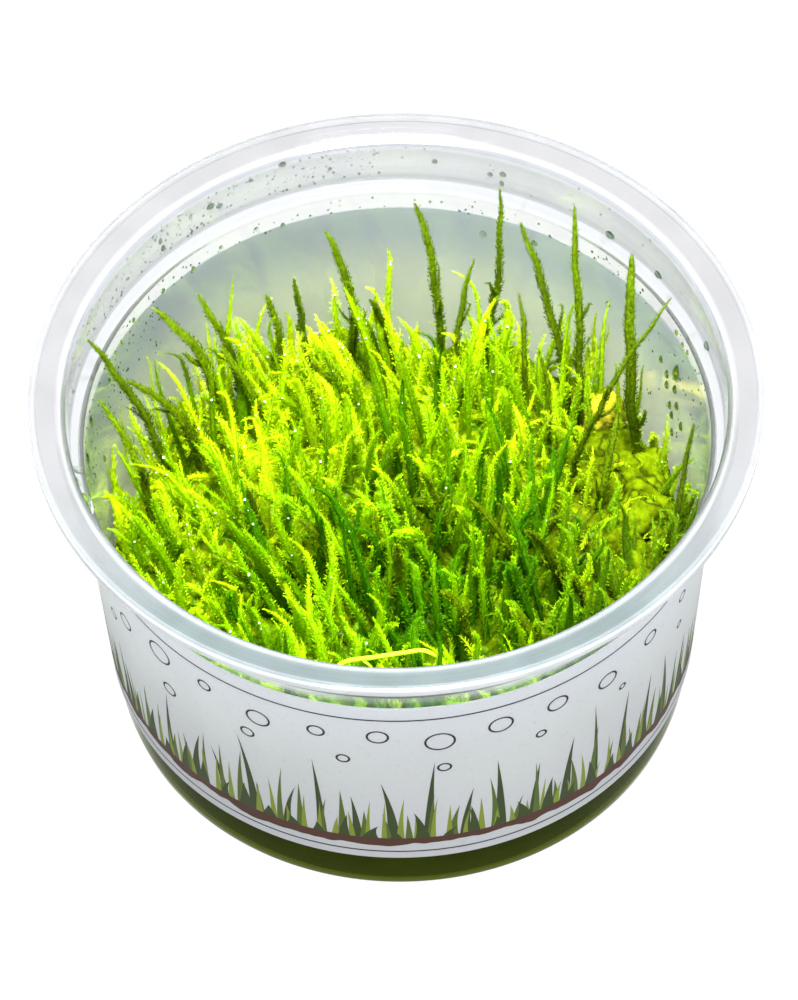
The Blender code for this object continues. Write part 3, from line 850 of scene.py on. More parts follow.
def leaves(sprigs, flat, rng):
    """Leaves in a spiral on each sprig's flattened body. A leaf's point (u, v, w) lies at base + l u axis +
    width v across + l w face, where the axis leans out from the sprig by its spread. Place, turn, spread, size
    and brightness vary from leaf to leaf, and the leaves near the tip are younger and smaller."""
    count = sprigs["count"]
    owner = np.repeat(np.arange(count.size), count)
    order = np.arange(owner.size) - np.repeat(np.cumsum(count) - count, count)
    start = sprigs["start"][owner]
    part = start + (1 - start) * (order + rng.uniform(0, 1, owner.size)) / count[owner]
    base, along = along_path(sprigs, owner, part)
    side, front = frame_round(along, sprigs["roll"][owner])
    turn = GOLDEN_TURN * order + rng.uniform(-0.4, 0.4, owner.size)
    edge = np.cos(turn)[:, None] * side + flat * np.sin(turn)[:, None] * front
    out = unit(np.cos(turn)[:, None] * side * flat + np.sin(turn)[:, None] * front)
    wide = half_width(sprigs, owner, part)
    spread = sprigs["spread"][owner] * rng.uniform(0.55, 1.45, owner.size)
    spread = (spread * (0.8 + 0.5 * np.abs(np.cos(turn))))[:, None]
    axis = np.cos(spread) * along + np.sin(spread) * out
    face = np.cos(spread) * out - np.sin(spread) * along
    across = np.cross(face, axis)
    young = 1 - 0.45 * part**3
    size = sprigs["leaf"][owner] * young * rng.uniform(0.65, 1.35, owner.size)
    blade = sprigs["blade"][owner] * young * rng.uniform(0.8, 1.2, owner.size)
    base = base + edge * (0.8 * wide)[:, None]
    points = base[:, None] + (
        LEAF[None, :, :1] * size[:, None, None] * axis[:, None]
        + LEAF[None, :, 1:2] * blade[:, None, None] * across[:, None]
        + LEAF[None, :, 2:] * size[:, None, None] * face[:, None]
    )
    faces, = repeated([LEAF_FACES], owner.size, len(LEAF))
    tone = shoot_tint(sprigs, owner, part) * rng.uniform(0.5, 1.4, owner.size)[:, None]
    tints = np.repeat(held_below_white(tone), len(LEAF), 0)
    return points.reshape(-1, 3), faces, tints


def shoot_tint(sprigs, owner, part):
    """A shoot's colour: its tint times its painted shade at the foot, which darkens the red most, its tint in
    the middle, its tip's tint above.
    """
    near_tip = np.clip((part - 0.45) / 0.5, 0, 1)[..., None] ** 1.3
    tone = sprigs["tint"][owner] + (sprigs["tip_tint"][owner] - sprigs["tint"][owner]) * near_tip
    shade = sprigs["shade"][owner]
    return tone * (shade + (1 - shade) * np.clip(part / 0.6, 0, 1))[..., None] ** np.array((1.4, 1.0, 1.0))


def held_below_white(tone):
    """Colours scaled so that no part of them is over one."""
    return tone / np.maximum(tone.max(-1, keepdims=True), 1)


def bodies(sprigs, flat, rings):
    """A flattened body for each sprig: place + w (cos a side + flat sin a front), w being a share of its half
    width. Its rings lie at the shares sin(k pi / 2n) of its length, so that they crowd towards the tip."""
    number = len(sprigs["path"])
    owner = np.arange(number)[:, None]
    part = np.broadcast_to(np.sin(np.linspace(0, math.pi / 2, rings + 1)), (number, rings + 1))
    place, along = along_path(sprigs, owner, part)
    side, front = frame_round(along, sprigs["roll"][:, None] + 0 * part)
    turn = full_turn(BODY_SIDES)[None, None, :, None]
    wide = BODY_WIDTH * half_width(sprigs, owner, part)[..., None, None]
    out = np.cos(turn) * side[:, :, None] + flat * np.sin(turn) * front[:, :, None]
    tube = place[:, :, None] + wide * out
    points = np.concatenate((tube[:, :-1].reshape(number, -1, 3), place[:, -1:], place[:, :1]), 1)
    each = points.shape[1]
    faces = repeated(closed_faces(rings, BODY_SIDES, each - 1, each - 2, turned_over=True), number, each)
    tone = BODY_LIGHT * shoot_tint(sprigs, owner, part)
    tints = np.concatenate((np.repeat(tone[:, :-1], BODY_SIDES, 1), tone[:, -1:], tone[:, :1]), 1)
    return points.reshape(-1, 3), faces, tints.reshape(-1, 3)


def join(*sets):
    """Several sets of sprigs as one."""
    return {key: np.concatenate([one[key] for one in sets]) for key in SPRIG_FIELDS}


def pick(sprigs, which):
    """Some sprigs of a set."""
    return {key: sprigs[key][which] for key in SPRIG_FIELDS}


def swayed(points, top, amount, rng):
    """Points moved sideways by amount (sin(k z + p) + 0.5 sin(2.3 k z + q)), which is nothing at the top."""
    z = points[:, 2:]
    wave = 2 * math.pi / SWAY_LENGTH
    phase = rng.uniform(0, 2 * math.pi, (2, 2))
    fade = amount * np.clip((top - z) / SWAY_GROWTH, 0, 1)
    points[:, :2] += fade * (np.sin(wave * z + phase[0]) + 0.5 * np.sin(2.3 * wave * z + phase[1]))
    return points


def leafy(name, sprigs, moss, material, rng, rings=8, sway=0.0):
    """One piece of moss: the bodies and leaves of all its sprigs."""
    leaf_points, leaf_faces, leaf_tints = leaves(sprigs, moss.flat, rng)
    body_points, body_faces, body_tints = bodies(sprigs, moss.flat, rings)
    points = np.concatenate((body_points, leaf_points))
    if sway:
        points = swayed(points, points[:, 2].max(), sway, rng)
    points = keep_inside(points, moss.wall_gap)
    faces = body_faces + [leaf_faces + len(body_points)]
    return build(name, points, faces, material, np.concatenate((body_tints, leaf_tints)))


def turf_level(x, y, moss):
    """Height of the dense turf: its usual height, a swell, a slope up to the back and a fall at its edge."""
    swell = moss.turf_swing * (ripple(x, y, 16 * MM, moss.seed) + 0.9 * y / MAT_RADIUS)
    return moss.turf + swell - TURF_EDGE_FALL * at_edge(x, y)


def growth_tint(x, y, age, moss):
    """A sprig's colour: from deep over fresh to lime as light + age goes from 0 to 1, and towards olive at the
    right. The light is painted light by place, with a random swell: with x and y in mat radii it is 0.27 + 0.5
    |x|
    + 0.58 max(y, -0.2) + 0.16 swell, up to 0.2 more at the front edge and up to 0.32 less at the front right.
      Its
    red is raised towards the back and the left, a painted yellow glow."""
    light = 0.27 + 0.50 * np.abs(x) / MAT_RADIUS + 0.58 * np.maximum(y / MAT_RADIUS, -0.2)
    light += 0.16 * ripple(x, y, 14 * MM, moss.seed + 1)
    light += 0.5 * np.clip(-y / MAT_RADIUS - 0.35, 0, 0.4)
    light -= 0.32 * np.clip((x / MAT_RADIUS - 0.5) / 0.4, 0, 1) * np.clip((8 * MM - y) / (16 * MM), 0, 1)
    light = np.clip(light + age, 0, 1)[:, None]
    deep, fresh, lime, olive = (np.array(tone) for tone in (moss.deep, moss.fresh, moss.lime, moss.olive))
    tone = np.where(light < 0.5, deep + (fresh - deep) * 2 * light, fresh + (lime - fresh) * (2 * light - 1))
    # Painted light: redder, so yellower, towards the back and the left
    tone[:, 0] **= 1 - 0.2 * np.clip((y - 0.4 * x) / MAT_RADIUS + 0.2, 0, 1)
    dry = np.clip((x / MAT_RADIUS - 0.4) / 0.5, 0, 1)[:, None] * 0.5
    return tone + (olive - tone) * dry


def place_shade(x, y):
    """How light the feet of the shoots are: painted shade in the depths of the mat, deepest in the middle of the
    front and least at the back. It is 0.33 + 0.5 |x| - 0.1 x + 0.75 max(y, 0) with x and y in mat radii, held to
    0.15 to 1."""
    return np.clip(0.33 + (0.50 * np.abs(x) - 0.10 * x + 0.75 * np.maximum(y, 0)) / MAT_RADIUS, 0.15, 1)


def by_gel(x, y):
    """From 0 to 1: one where the lumps of gel show between the shoots, at the right."""
    away = np.hypot((x - GEL_PATCH[0]) / GEL_PATCH_SIZE[0], (y - GEL_PATCH[1]) / GEL_PATCH_SIZE[1])
    return np.clip((1.15 - away) / 0.3, 0, 1)


def at_edge(x, y):
    """From 0 to 1: one at the back edge of the clump, where the shoots stand low and apart, less at its left."""
    out = np.clip((np.hypot(x, y) / MAT_RADIUS - 0.62) / 0.3, 0, 1)
    return out * np.clip(0.45 + (0.9 * y - 0.2 * x) / MAT_RADIUS, 0, 1)


def sprig_set(rng, path, hook, tint, tip_tint, per_length, start, **singles):
    """Sprigs on their paths, with as many leaves as their length asks for, the first of them at a share of it.
    Of the singles, one value may hold for all the sprigs."""
    number = len(path)
    reach = np.linalg.norm(path[:, 3] - path[:, 0], axis=1)
    count = np.maximum(6, (reach * (1 - start) * per_length).astype(int))
    sprigs = {"path": path, "hook": hook, "count": count, "tint": tint, "tip_tint": tip_tint,
              "roll": rng.uniform(0, math.pi, number)}
    for key, value in {"start": start, **singles}.items():
        sprigs[key] = value * np.ones(number)
    return sprigs


def mat_sprigs(moss, rng):
    """The mat's shoots. Their feet stand in the turf on a jittered honeycomb, with gaps where the gel shows and
    at the back edge. Their tips lie at the canopy: its usual height, a swell, noise and, for one in four, some
    millimetres more. They lean outwards and back by shares of their rise, and end in a hook."""
    rows = int(MAT_RADIUS / moss.spacing * 1.3) + 2
    row, column = np.mgrid[-rows:rows + 1, -rows:rows + 1]
    x = (moss.spacing * (column + 0.5 * (row % 2))).ravel()
    y = (moss.spacing * math.sqrt(0.75) * row).ravel()
    x = x + rng.uniform(-0.35, 0.35, x.size) * moss.spacing
    y = y + rng.uniform(-0.35, 0.35, y.size) * moss.spacing
    inside = np.hypot(x, y) < MAT_RADIUS + 0.6 * MM
    inside &= rng.uniform(0, 1, x.size) > np.maximum(0.32 * by_gel(x, y), 0.1 * at_edge(x, y))
    x, y = x[inside], y[inside]
    number, gel, edge = x.size, by_gel(x, y), at_edge(x, y)

    foot = np.stack((x, y, turf_level(x, y, moss) - 3 * MM), -1)
    top = moss.canopy + moss.canopy_swing * ripple(x, y, 20 * MM, moss.seed + 2)
    top += moss.front_fall * np.minimum(0, y) / MAT_RADIUS + rng.normal(0, 2.7 * MM, number)
    top += np.where(rng.uniform(0, 1, number) < 0.25, rng.uniform(2, 6, number) * MM, 0)
    top -= SHOOT_GEL_FALL * gel + SHOOT_EDGE_FALL * edge
    rise = top - foot[:, 2]
    sideways = 0.22 * x / MAT_RADIUS - 0.06 + 0.10 * ripple(x, y, 22 * MM, moss.seed + 3)
    backward = 0.10 + 0.06 * y / MAT_RADIUS + 0.10 * ripple(x, y, 22 * MM, moss.seed + 4)
    lean = np.stack((sideways + rng.normal(0, 0.13, number), backward + rng.normal(0, 0.13, number)), -1)
    run = np.concatenate((lean * rise[:, None], rise[:, None]), -1)
    tip = foot + run
    low = foot + run * np.array((0.1, 0.1, 0.35))
    high = tip - run * np.array((0.35, 0.35, 0.3)) + rng.normal(0, 1.2 * MM, (number, 3))
    curl = rng.normal(-0.6 * MM, 0.9 * MM, number)
    hook = np.stack((curl, rng.normal(0, 0.6 * MM, number), -0.35 * np.abs(curl)), -1)

    girth = moss.girth * rng.uniform(0.5, 1.3, number) * (1 - 0.25 * edge)
    leaf = moss.leaf * rng.uniform(0.8, 1.25, number)
    spread = np.radians(rng.uniform(18, 38, number))
    blade = moss.blade * np.ones(number)
    feathery = rng.uniform(0, 1, number) < moss.feathery
    leaf[feathery] *= 1.6
    blade[feathery] *= 0.6
    spread[feathery] = math.radians(50)
    girth[feathery] *= 0.55
    tall = np.clip((top - moss.canopy) / (6 * MM), 0, 1)
    age = rng.normal(-0.06, 0.29, number) + 0.25 * feathery - 0.3 * tall - 0.3 * gel - 0.2 * edge
    return sprig_set(
        rng, np.stack((foot, low, high, tip), 1), hook,
        tint=growth_tint(x, y, age, moss), tip_tint=growth_tint(x, y, age + 0.33 - 0.25 * tall, moss),
        per_length=moss.leaves_per_mm / MM, start=0.2, girth=girth, blunt=3,
        taper=rng.uniform(0.6, 1.0, number), leaf=leaf, blade=blade, spread=spread, shade=place_shade(x, y))


def branch_sprigs(parents, moss, rng, each, low, high, shortest, longest):
    """Side branches: three in five of so many for each parent. One leaves its parent at a share of its length
    from low to high, and bends up along it."""
    owner = np.repeat(np.arange(len(parents["path"])), each)
    owner = owner[rng.uniform(0, 1, owner.size) < 0.6]
    number = owner.size
    part = rng.uniform(low, high, number)
    foot, along = along_path(parents, owner, part)
    side, front = frame_round(along, 0 * part)
    turn = rng.uniform(0, 2 * math.pi, number)[:, None]
    out = np.cos(turn) * side + np.sin(turn) * front
    reach = rng.uniform(shortest, longest, number)[:, None]
    path = np.stack([foot + reach * (up * along + away * out) for up, away in BRANCH_BENDS], 1)
    hook = rng.normal(0, 0.5 * MM, (number, 3)) + np.array((-0.5 * MM, 0, 0))
    return sprig_set(
        rng, path, hook, tint=shoot_tint(parents, owner, part), tip_tint=parents["tip_tint"][owner],
        per_length=0.9 * moss.leaves_per_mm / MM, start=0.05, girth=0.42 * parents["girth"][owner], blunt=3,
        taper=0.9, leaf=0.85 * parents["leaf"][owner], blade=0.9 * moss.blade,
        spread=parents["spread"][owner], shade=0.7)


def litter_sprigs(moss, rng):
    """Short shoots that lie every way on the turf, a little raised and sagging."""
    number = moss.litter
    radius = (MAT_RADIUS - 1 * MM) * np.sqrt(rng.uniform(0, 1, number))
    turn = rng.uniform(0, 2 * math.pi, number)
    x, y = radius * np.cos(turn), radius * np.sin(turn)
    foot = np.stack((x, y, turf_level(x, y, moss) - 0.5 * MM), -1)
    way = rng.uniform(0, 2 * math.pi, number)
    reach = rng.uniform(3, 7, number) * MM
    run = np.stack((np.cos(way), np.sin(way), rng.uniform(0.2, 1.1, number)), -1) * reach[:, None]
    sag = np.array((0, 0, 1)) * rng.uniform(0.2, 1.2, number)[:, None] * MM
    path = np.stack((foot, foot + run / 3 + sag, foot + run * 2 / 3 + sag, foot + run), 1)
    # Painted light and shade: the litter grows lighter towards the back and takes the feet's painted shade
    age = rng.normal(-0.28, 0.2, number) + 0.45 * np.clip(y / MAT_RADIUS + 0.4, 0, 1)
    shade = (0.4 + 0.6 * place_shade(x, y))[:, None]
    return sprig_set(
        rng, path, rng.normal(0, 0.6 * MM, (number, 3)),
        tint=growth_tint(x, y, age, moss) * shade, tip_tint=growth_tint(x, y, age + 0.3, moss) * shade,
        per_length=0.7 * moss.leaves_per_mm / MM, start=0.05, girth=0.55 * MM * rng.uniform(0.6, 1.3, number),
        blunt=3, taper=0.9, leaf=0.9 * moss.leaf, blade=0.9 * moss.blade, spread=math.radians(34), shade=0.7)


def turf_piece(moss, material, rng):
    """The dense turf under the shoots: a round body whose top is the turf's level with fine noise, and whose
    side follows the tub down to the mat's foot."""
    part = np.linspace(0, 1, TURF_RINGS + 1)[1:, None]
    turn = full_turn(TURF_STEPS)
    edge = inner_radius(np.array(moss.turf)) - 2 * moss.wall_gap
    x, y = part * edge * np.cos(turn), part * edge * np.sin(turn)
    z = turf_level(x, y, moss) + rng.normal(0, 0.4 * MM, x.shape)
    foot = inner_radius(np.array(MAT_BOTTOM)) - 2 * moss.wall_gap
    middle = turf_level(np.zeros(1), np.zeros(1), moss)[0]
    points = np.concatenate((
        np.stack((x, y, z), -1).reshape(-1, 3),
        round_axis(foot, turn, MAT_BOTTOM),
        [(0, 0, middle), (0, 0, MAT_BOTTOM)],
    ))
    faces = closed_faces(TURF_RINGS + 1, TURF_STEPS, len(points) - 2, len(points) - 1)
    x, y = points[:, 0], points[:, 1]
    edge = at_edge(x, y)
    # Painted shade: the turf's tone is 0.7 times the feet's painted shade, half as light where the gel shows and
    # darker at the back edge
    light = 0.7 * place_shade(x, y) * (1 - 0.5 * by_gel(x, y)) * (1 - 0.25 * edge)
    tints = light[:, None] * growth_tint(x, y, rng.normal(0, 0.3, len(points)) - 0.7 * edge, moss)
    return build("moss_turf", keep_inside(points, moss.wall_gap), faces, material, tints)


# Lumps of gel among the shoots: middle, half width and half height in millimetres, and how dark they are
GEL_LUMPS = [
    (30.5, 18.0, 24, 4.8, 3.6, 0.3), (34.2, 6.9, 25.0, 4.3, 3.8, 0.25), (29.9, 3.6, 24, 4.4, 4.0, 0.2),
    (31.6, -1.6, 24, 4.4, 3.6, 0.3), (25.3, 7.0, 23, 4.4, 4.0, 0.0), (20.5, 13.6, 23, 3.8, 3.6, 0.2),
    (24.9, 0.4, 23, 3.8, 3.8, 0.4), (34.2, 14.0, 24.3, 4.3, 3.7, 0.3), (34.4, -5.5, 24, 3.8, 3.2, 0.4),
    (23.1, 19.4, 23, 4.0, 3.6, 0.3), (27.6, 12.1, 24.5, 4.4, 4.0, 0.15), (26.5, -7.5, 23, 3.8, 3.4, 0.4),
]
BRIGHT_GEL, DARK_GEL = np.array((0.17, 0.25, 0.002)), np.array((0.06, 0.11, 0.001))

# Two more at the back right, one on the other, of a pale orange that shows between the long shoots
WARM_LUMPS = [(29.3, 23.8, 25.4, 3.6, 3.2, 0), (29.6, 23.8, 27.6, 2.7, 2.5, 0)]
WARM_TINT = (0.46, 0.43, 0.02)

# How many beads of dew sit on the shoots
DEW_BEADS = 170


def lump_mesh(rows, rng, rings, sides, uneven):
    """Lumps: at colatitude p and turn q a point lies at the middle + (a sin p cos q, a sin p sin q, h cos p)
    times 1 + uneven swell sin p, the swell being the sum of three sine waves in p and q."""
    middle = rows[:, None, None, :3] * MM
    wide, tall = rows[:, 3, None, None] * MM, rows[:, 4, None, None] * MM
    down = np.linspace(0, math.pi, rings + 1)[1:-1][None, :, None]
    around = full_turn(sides)[None, None, :]
    phase = rng.uniform(0, 2 * math.pi, (3, len(rows), 1, 1))
    swell = (np.sin(2 * around + 3 * down + phase[0]) + np.sin(3 * around - 4 * down + phase[1])
             + np.sin(4 * around + 5 * down + phase[2]))
    size = 1 + uneven * swell * np.sin(down)
    body = middle + round_axis(wide * np.sin(down), around, tall * np.cos(down)) * size[..., None]
    up = np.array((0, 0, 1.0))
    poles = np.stack((middle[:, 0, 0] + up * tall[:, 0], middle[:, 0, 0] - up * tall[:, 0]), 1)
    points = np.concatenate((body.reshape(len(rows), -1, 3), poles), 1)
    each = points.shape[1]
    faces = repeated(closed_faces(rings - 1, sides, each - 2, each - 1), len(rows), each)
    tints = np.repeat(BRIGHT_GEL + (DARK_GEL - BRIGHT_GEL) * rows[:, 5:], each, 0)
    return points.reshape(-1, 3), faces, tints


class MOSS_OT_lumps(bpy.types.Operator):
    """Sets the glassy lumps of gel that lie among the shoots at the right, and the two pale ones"""

    bl_idname = "moss.lumps"
    bl_label = "Gel lumps"

    def execute(self, context):
        moss = context.scene.moss_growth
        rows = np.array(GEL_LUMPS + WARM_LUMPS, float)
        rng = np.random.default_rng(moss.seed + 40)
        points, faces, tints = lump_mesh(rows, rng, rings=18, sides=28, uneven=0.1)
        each = len(tints) // len(rows)
        tints[-each * len(WARM_LUMPS):] = WARM_TINT
        points = keep_inside(points, moss.wall_gap)
        piece = build("gel_lumps", points, faces, glassy_gel(), tints, sharp=math.radians(180))
        stand_for(piece, ["culture_gel"])
        return {"FINISHED"}


class MOSS_OT_mat(bpy.types.Operator):
    """Grows the dense mat: turf, leafy shoots and side branches in six parts, beads of dew and lying shoots"""

    bl_idname = "moss.mat"
    bl_label = "Moss mat"

    def execute(self, context):
        moss = context.scene.moss_growth
        rng = np.random.default_rng(moss.seed)
        material = moss_finish("dense_moss", moss.glow, 2600)
        stand_for(turf_piece(moss, material, rng), ["moss_mat"])
        shoots = mat_sprigs(moss, rng)
        branches = branch_sprigs(shoots, moss, rng, each=1, low=0.2, high=0.6,
                                 shortest=4 * MM, longest=8 * MM)
        sprigs = join(shoots, branches)
        turn = np.degrees(np.arctan2(sprigs["path"][:, 0, 1], sprigs["path"][:, 0, 0])) % 360
        names = ["back_right", "back", "back_left", "front_left", "front", "front_right"]
        for number, name in enumerate(names):
            sector = pick(sprigs, (turn // (360 // len(names))).astype(int) == number)
            piece = leafy("moss_" + name, sector, moss, material, rng)
            stand_for(piece, ["moss_mat"])
        beads = dew_rows(shoots, DEW_BEADS, rng)
        points, faces, _ = lump_mesh(beads, rng, rings=4, sides=8, uneven=0)
        # Painted highlight: the share of the dew that isn't clear is white, so each bead shows as a bright speck
        clear = water("dew", (0.95, 1.0, 0.85), roughness=0.08, clear=0.55)
        dew = build("dew_beads", keep_inside(points, moss.wall_gap), faces, clear, sharp=math.radians(180))
        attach(dew, "root")
        litter = leafy("moss_litter", litter_sprigs(moss, rng), moss, material, rng, rings=4)
        stand_for(litter, ["moss_mat"])
        return {"FINISHED"}


def dew_rows(sprigs, number, rng):
    """Beads of dew as rows for lump_mesh: on the upper side of shoots, most at the left and the back."""
    x, y = sprigs["path"][:, 0, 0], sprigs["path"][:, 0, 1]
    chance = np.clip(0.25 + 0.6 * (y - x) / MAT_RADIUS, 0.05, 1.0)
    owner = rng.choice(len(x), number, p=chance / chance.sum())
    part = rng.uniform(0.45, 0.9, number)
    place, _ = along_path(sprigs, owner, part)
    size = rng.uniform(0.28, 0.5, number)[:, None] ** 2
    lift = half_width(sprigs, owner, part)[:, None] * np.array((0, -0.6, 0.5))
    return np.concatenate(((place + lift) / MM, size, size, 0 * size), 1)


def solid_ends(name):
    """Foot, tip and foot radius of a long shoot's solid, from its node's lowest ring and highest point."""
    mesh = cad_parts[name].data
    points = np.empty(len(mesh.vertices) * 3, np.float32)
    mesh.vertices.foreach_get("co", points)
    points = points.reshape(-1, 3).astype(float)
    low = points[points[:, 2] < points[:, 2].min() + 0.05 * MM]
    foot = low.mean(0)
    return foot, points[points[:, 2].argmax()], np.linalg.norm(low - foot, axis=1).max()


# How far the foot and the middle of some long shoots stand off their solid's, to the right and back, in
# millimetres
BOWS = {
    "shoot_01": (0, 0, -1.5, 0), "shoot_04": (0, 0, 1.2, 0), "shoot_09": (0, 0, 2.0, 0.5),
    "shoot_11": (0, 0, 1.2, 0), "shoot_12": (0, 0, -1.4, 0), "shoot_13": (-1.0, 0, 3.6, 0.5),
    "shoot_14": (3.0, 0, 0.6, 0), "shoot_16": (0.5, 0, 1.8, 0.5), "shoot_18": (3.4, 5.0, 1.4, 2.0),
    "shoot_19": (-1.0, 1.0, 0.8, -1.5), "shoot_20": (0.5, -1.0, 4.5, -0.5),
}
UNBOWED = (0, 0, 0, 0)

# How wide some long shoots are beside their solid, the fall towards the tip, and how light they are
BUILDS = {
    "shoot_13": (0.6, 0.6, 0.95), "shoot_14": (0.7, 0.5, 0.85), "shoot_16": (0.5, 0.5, 0.8),
    "shoot_18": (0.6, 0.35, 0.7), "shoot_20": (0.65, 0.3, 0.6),
}
USUAL_BUILD = (0.7, 0.6, 1.0)

# How far the feet are carried down, out of sight, as a share of the way from foot to middle
FOOT_DEPTH = 0.22


class MOSS_OT_long_shoots(bpy.types.Operator):
    """Grows the long shoots that stand out of the mat, each on its solid's foot and up to its tip"""

    bl_idname = "moss.long_shoots"
    bl_label = "Long shoots"

    def execute(self, context):
        moss = context.scene.moss_growth
        rng = np.random.default_rng(moss.seed + 20)
        material = moss_finish("moss_shoot", 0.5 * moss.glow, 2200, patchy=0.5)
        for name in LONG_SHOOTS:
            foot, tip, thick = solid_ends(name)
            bow = np.array(BOWS.get(name, UNBOWED)) * MM
            rise = tip[2] - foot[2]
            bend = foot + np.array((bow[2], bow[3], 0.55 * rise))
            foot = foot + np.array((bow[0], bow[1], 0)) - FOOT_DEPTH * (bend - foot)
            low = foot + (bend - foot) * 2 / 3 + rng.normal(0, 0.6 * MM, 3)
            high = tip + (bend - tip) * 2 / 3 + rng.normal(0, 0.6 * MM, 3)
            path = np.stack((foot, low, high, tip))[None]
            wide, fall, light = BUILDS.get(name, USUAL_BUILD)
            tone = np.array(moss.stem)[None] * rng.uniform(0.8, 1.15) * light
            shoot = sprig_set(
                rng, path, np.zeros((1, 3)), tint=tone, tip_tint=1.1 * tone,
                per_length=1.3 * moss.leaves_per_mm / MM, start=0.02, girth=wide * thick, blunt=6, taper=fall,
                leaf=0.9 * moss.leaf, blade=1.3 * moss.blade, spread=math.radians(30), shade=0.8)
            twigs = branch_sprigs(shoot, moss, rng, each=3, low=0.2, high=0.6,
                                  shortest=2.5 * MM, longest=6 * MM)
            piece = leafy(name + "_leafy", join(shoot, twigs), moss, material, rng, rings=16, sway=0.16 * MM)
            stand_for(piece, [name])
        return {"FINISHED"}


# The arched shoot's route on its solid, and that of its side strand, in millimetres
ARCH_ROUTE = [(-10.8, -29.8, 34.0), (-9.5, -29.2, 37.8), (-7.6, -28.9, 39.5), (-4.0, -28.8, 40.1),
              (0.4, -28.4, 40.5), (2.8, -28.3, 40.7), (4.6, -28.8, 39.9), (6.2, -29.4, 37.4),
              (7.2, -30.2, 33.0)]
SIDE_STRAND = [(-5.6, -28.9, 39.7), (-4.6, -29.6, 39.4), (-3.9, -30.2, 38.4), (-3.6, -30.8, 36.8)]

# The name, route and radius in millimetres of each of its strands, and their colour
ARCH_STRANDS = [("arched_young_shoot", ARCH_ROUTE, 0.34), ("arched_side_strand", SIDE_STRAND, 0.2)]
ARCH_TINT = (0.46, 0.78, 0.02)


def smooth_route(points, steps):
    """A curve through points: between two of them 0.5 (2b + (c - a) t + (2a - 5b + 4c - d) t^2 +
    (3b - a - 3c + d) t^3)."""
    points = np.array(points, float)
    ends = np.concatenate((2 * points[:1] - points[1:2], points, 2 * points[-1:] - points[-2:-1]))
    a, b, c, d = (ends[k:len(ends) - 3 + k, None] for k in range(4))
    t = np.linspace(0, 1, steps, endpoint=False)[None, :, None]
    curve = 0.5 * (2 * b + (c - a) * t + (2 * a - 5 * b + 4 * c - d) * t**2 + (3 * b - a - 3 * c + d) * t**3)
    return np.concatenate((curve.reshape(-1, 3), points[-1:]))


def strand(route, radius, sides):
    """Points and faces of a closed tube round a route, as thick as radius (1 - p^6) at the share p of it."""
    along = unit(np.gradient(route, axis=0))
    side, front = frame_round(along, np.zeros(len(route)))
    turn = full_turn(sides)[None, :, None]
    part = np.linspace(0, 1, len(route))
    thick = (radius * (1 - part**6))[:, None, None]
    tube = (route[:, None] + thick * (np.cos(turn) * side[:, None] + np.sin(turn) * front[:, None]))[:-1]
    points = np.concatenate((tube.reshape(-1, 3), route[-1:], route[:1]))
    number = len(points)
    return points, closed_faces(len(route) - 1, sides, number - 1, number - 2, turned_over=True)


class MOSS_OT_arch(bpy.types.Operator):
    """Bends the bright young shoot that arches over at the front"""

    bl_idname = "moss.arch"
    bl_label = "Arched shoot"

    def execute(self, context):
        moss = context.scene.moss_growth
        material = moss_finish("young_moss", 0.5 * moss.glow, 1500)
        for name, route, radius in ARCH_STRANDS:
            points, faces = strand(smooth_route(np.array(route) * MM, 8), radius * MM, 8)
            tints = np.tile(np.array(ARCH_TINT), (len(points), 1))
            piece = build(name, points, faces, material, tints, sharp=math.radians(180))
            stand_for(piece, ["arched_shoot"])
        return {"FINISHED"}


# Larger drops: turn in degrees, height, width and length in millimetres
COLLAR_DROPS = [
    (135.3, 55.8, 0.9, 1.3), (109.5, 60.1, 1.3, 0.9), (124.1, 57.8, 1.4, 1.1), (122.3, 57.0, 1.2, 0.9),
    (135.7, 57.5, 0.8, 1.4), (72.0, 56.7, 0.9, 0.9), (69.6, 57.3, 1.1, 1.1), (69.8, 55.4, 0.8, 1.2),
    (82.1, 57.6, 0.9, 0.9), (115.7, 59.1, 0.8, 0.8), (100.9, 57.1, 0.7, 0.8), (47.3, 54.6, 1.6, 1.3),
    (34.8, 54.6, 1.5, 1.2), (16.4, 54.7, 1.6, 1.4),
]
STRIP_DROPS = [
    (130.8, 50.0, 0.9, 1.0), (138.7, 50.4, 1.0, 1.1), (124.1, 50.9, 0.8, 0.9), (116.4, 51.2, 0.9, 0.9),
    (111.0, 50.0, 0.8, 1.1), (147.9, 50.9, 0.9, 1.0), (152.7, 49.8, 0.9, 1.2), (155.3, 49.7, 0.8, 1.1),
    (24.3, 51.4, 1.1, 1.2), (21.6, 51.0, 1.0, 1.2), (19.4, 51.2, 0.9, 1.1), (72.5, 46.2, 1.2, 1.4),
    (62.2, 47.4, 1.3, 1.3), (44.8, 43.1, 1.0, 1.2), (196.0, 54.7, 5.0, 3.2), (190.0, 54.2, 1.8, 1.8),
    (187.0, 53.5, 1.4, 1.2),
]
WALL_DROPS = [
    (171.0, 48.6, 0.9, 2.6), (179.0, 48.0, 0.9, 2.8), (159.1, 47.1, 0.8, 1.3), (167.5, 37.2, 0.8, 1.6),
    (22.6, 44.1, 1.9, 3.4), (28.6, 42.4, 0.9, 1.6), (26.1, 41.1, 1.0, 1.7), (25.7, 39.1, 1.0, 1.7),
    (22.6, 40.6, 1.1, 1.8), (23.8, 36.2, 1.0, 1.7), (21.1, 38.2, 1.1, 1.8), (22.6, 35.0, 1.0, 1.7),
    (18.4, 36.0, 1.1, 1.9), (21.8, 31.9, 1.0, 1.6),
]

# Mists of small drops: from and to in degrees, low and high in millimetres, and how many
MISTS = [(92, 172, 54.6, 60.0, 330), (20, 90, 54.6, 60.0, 30), (140, 196, 40, 52.3, 170),
         (8, 34, 31, 52.3, 60), (34, 140, 49.4, 52.4, 90)]

# How much narrower a drop is at its top than at its middle
DROP_SHOULDER = 0.28


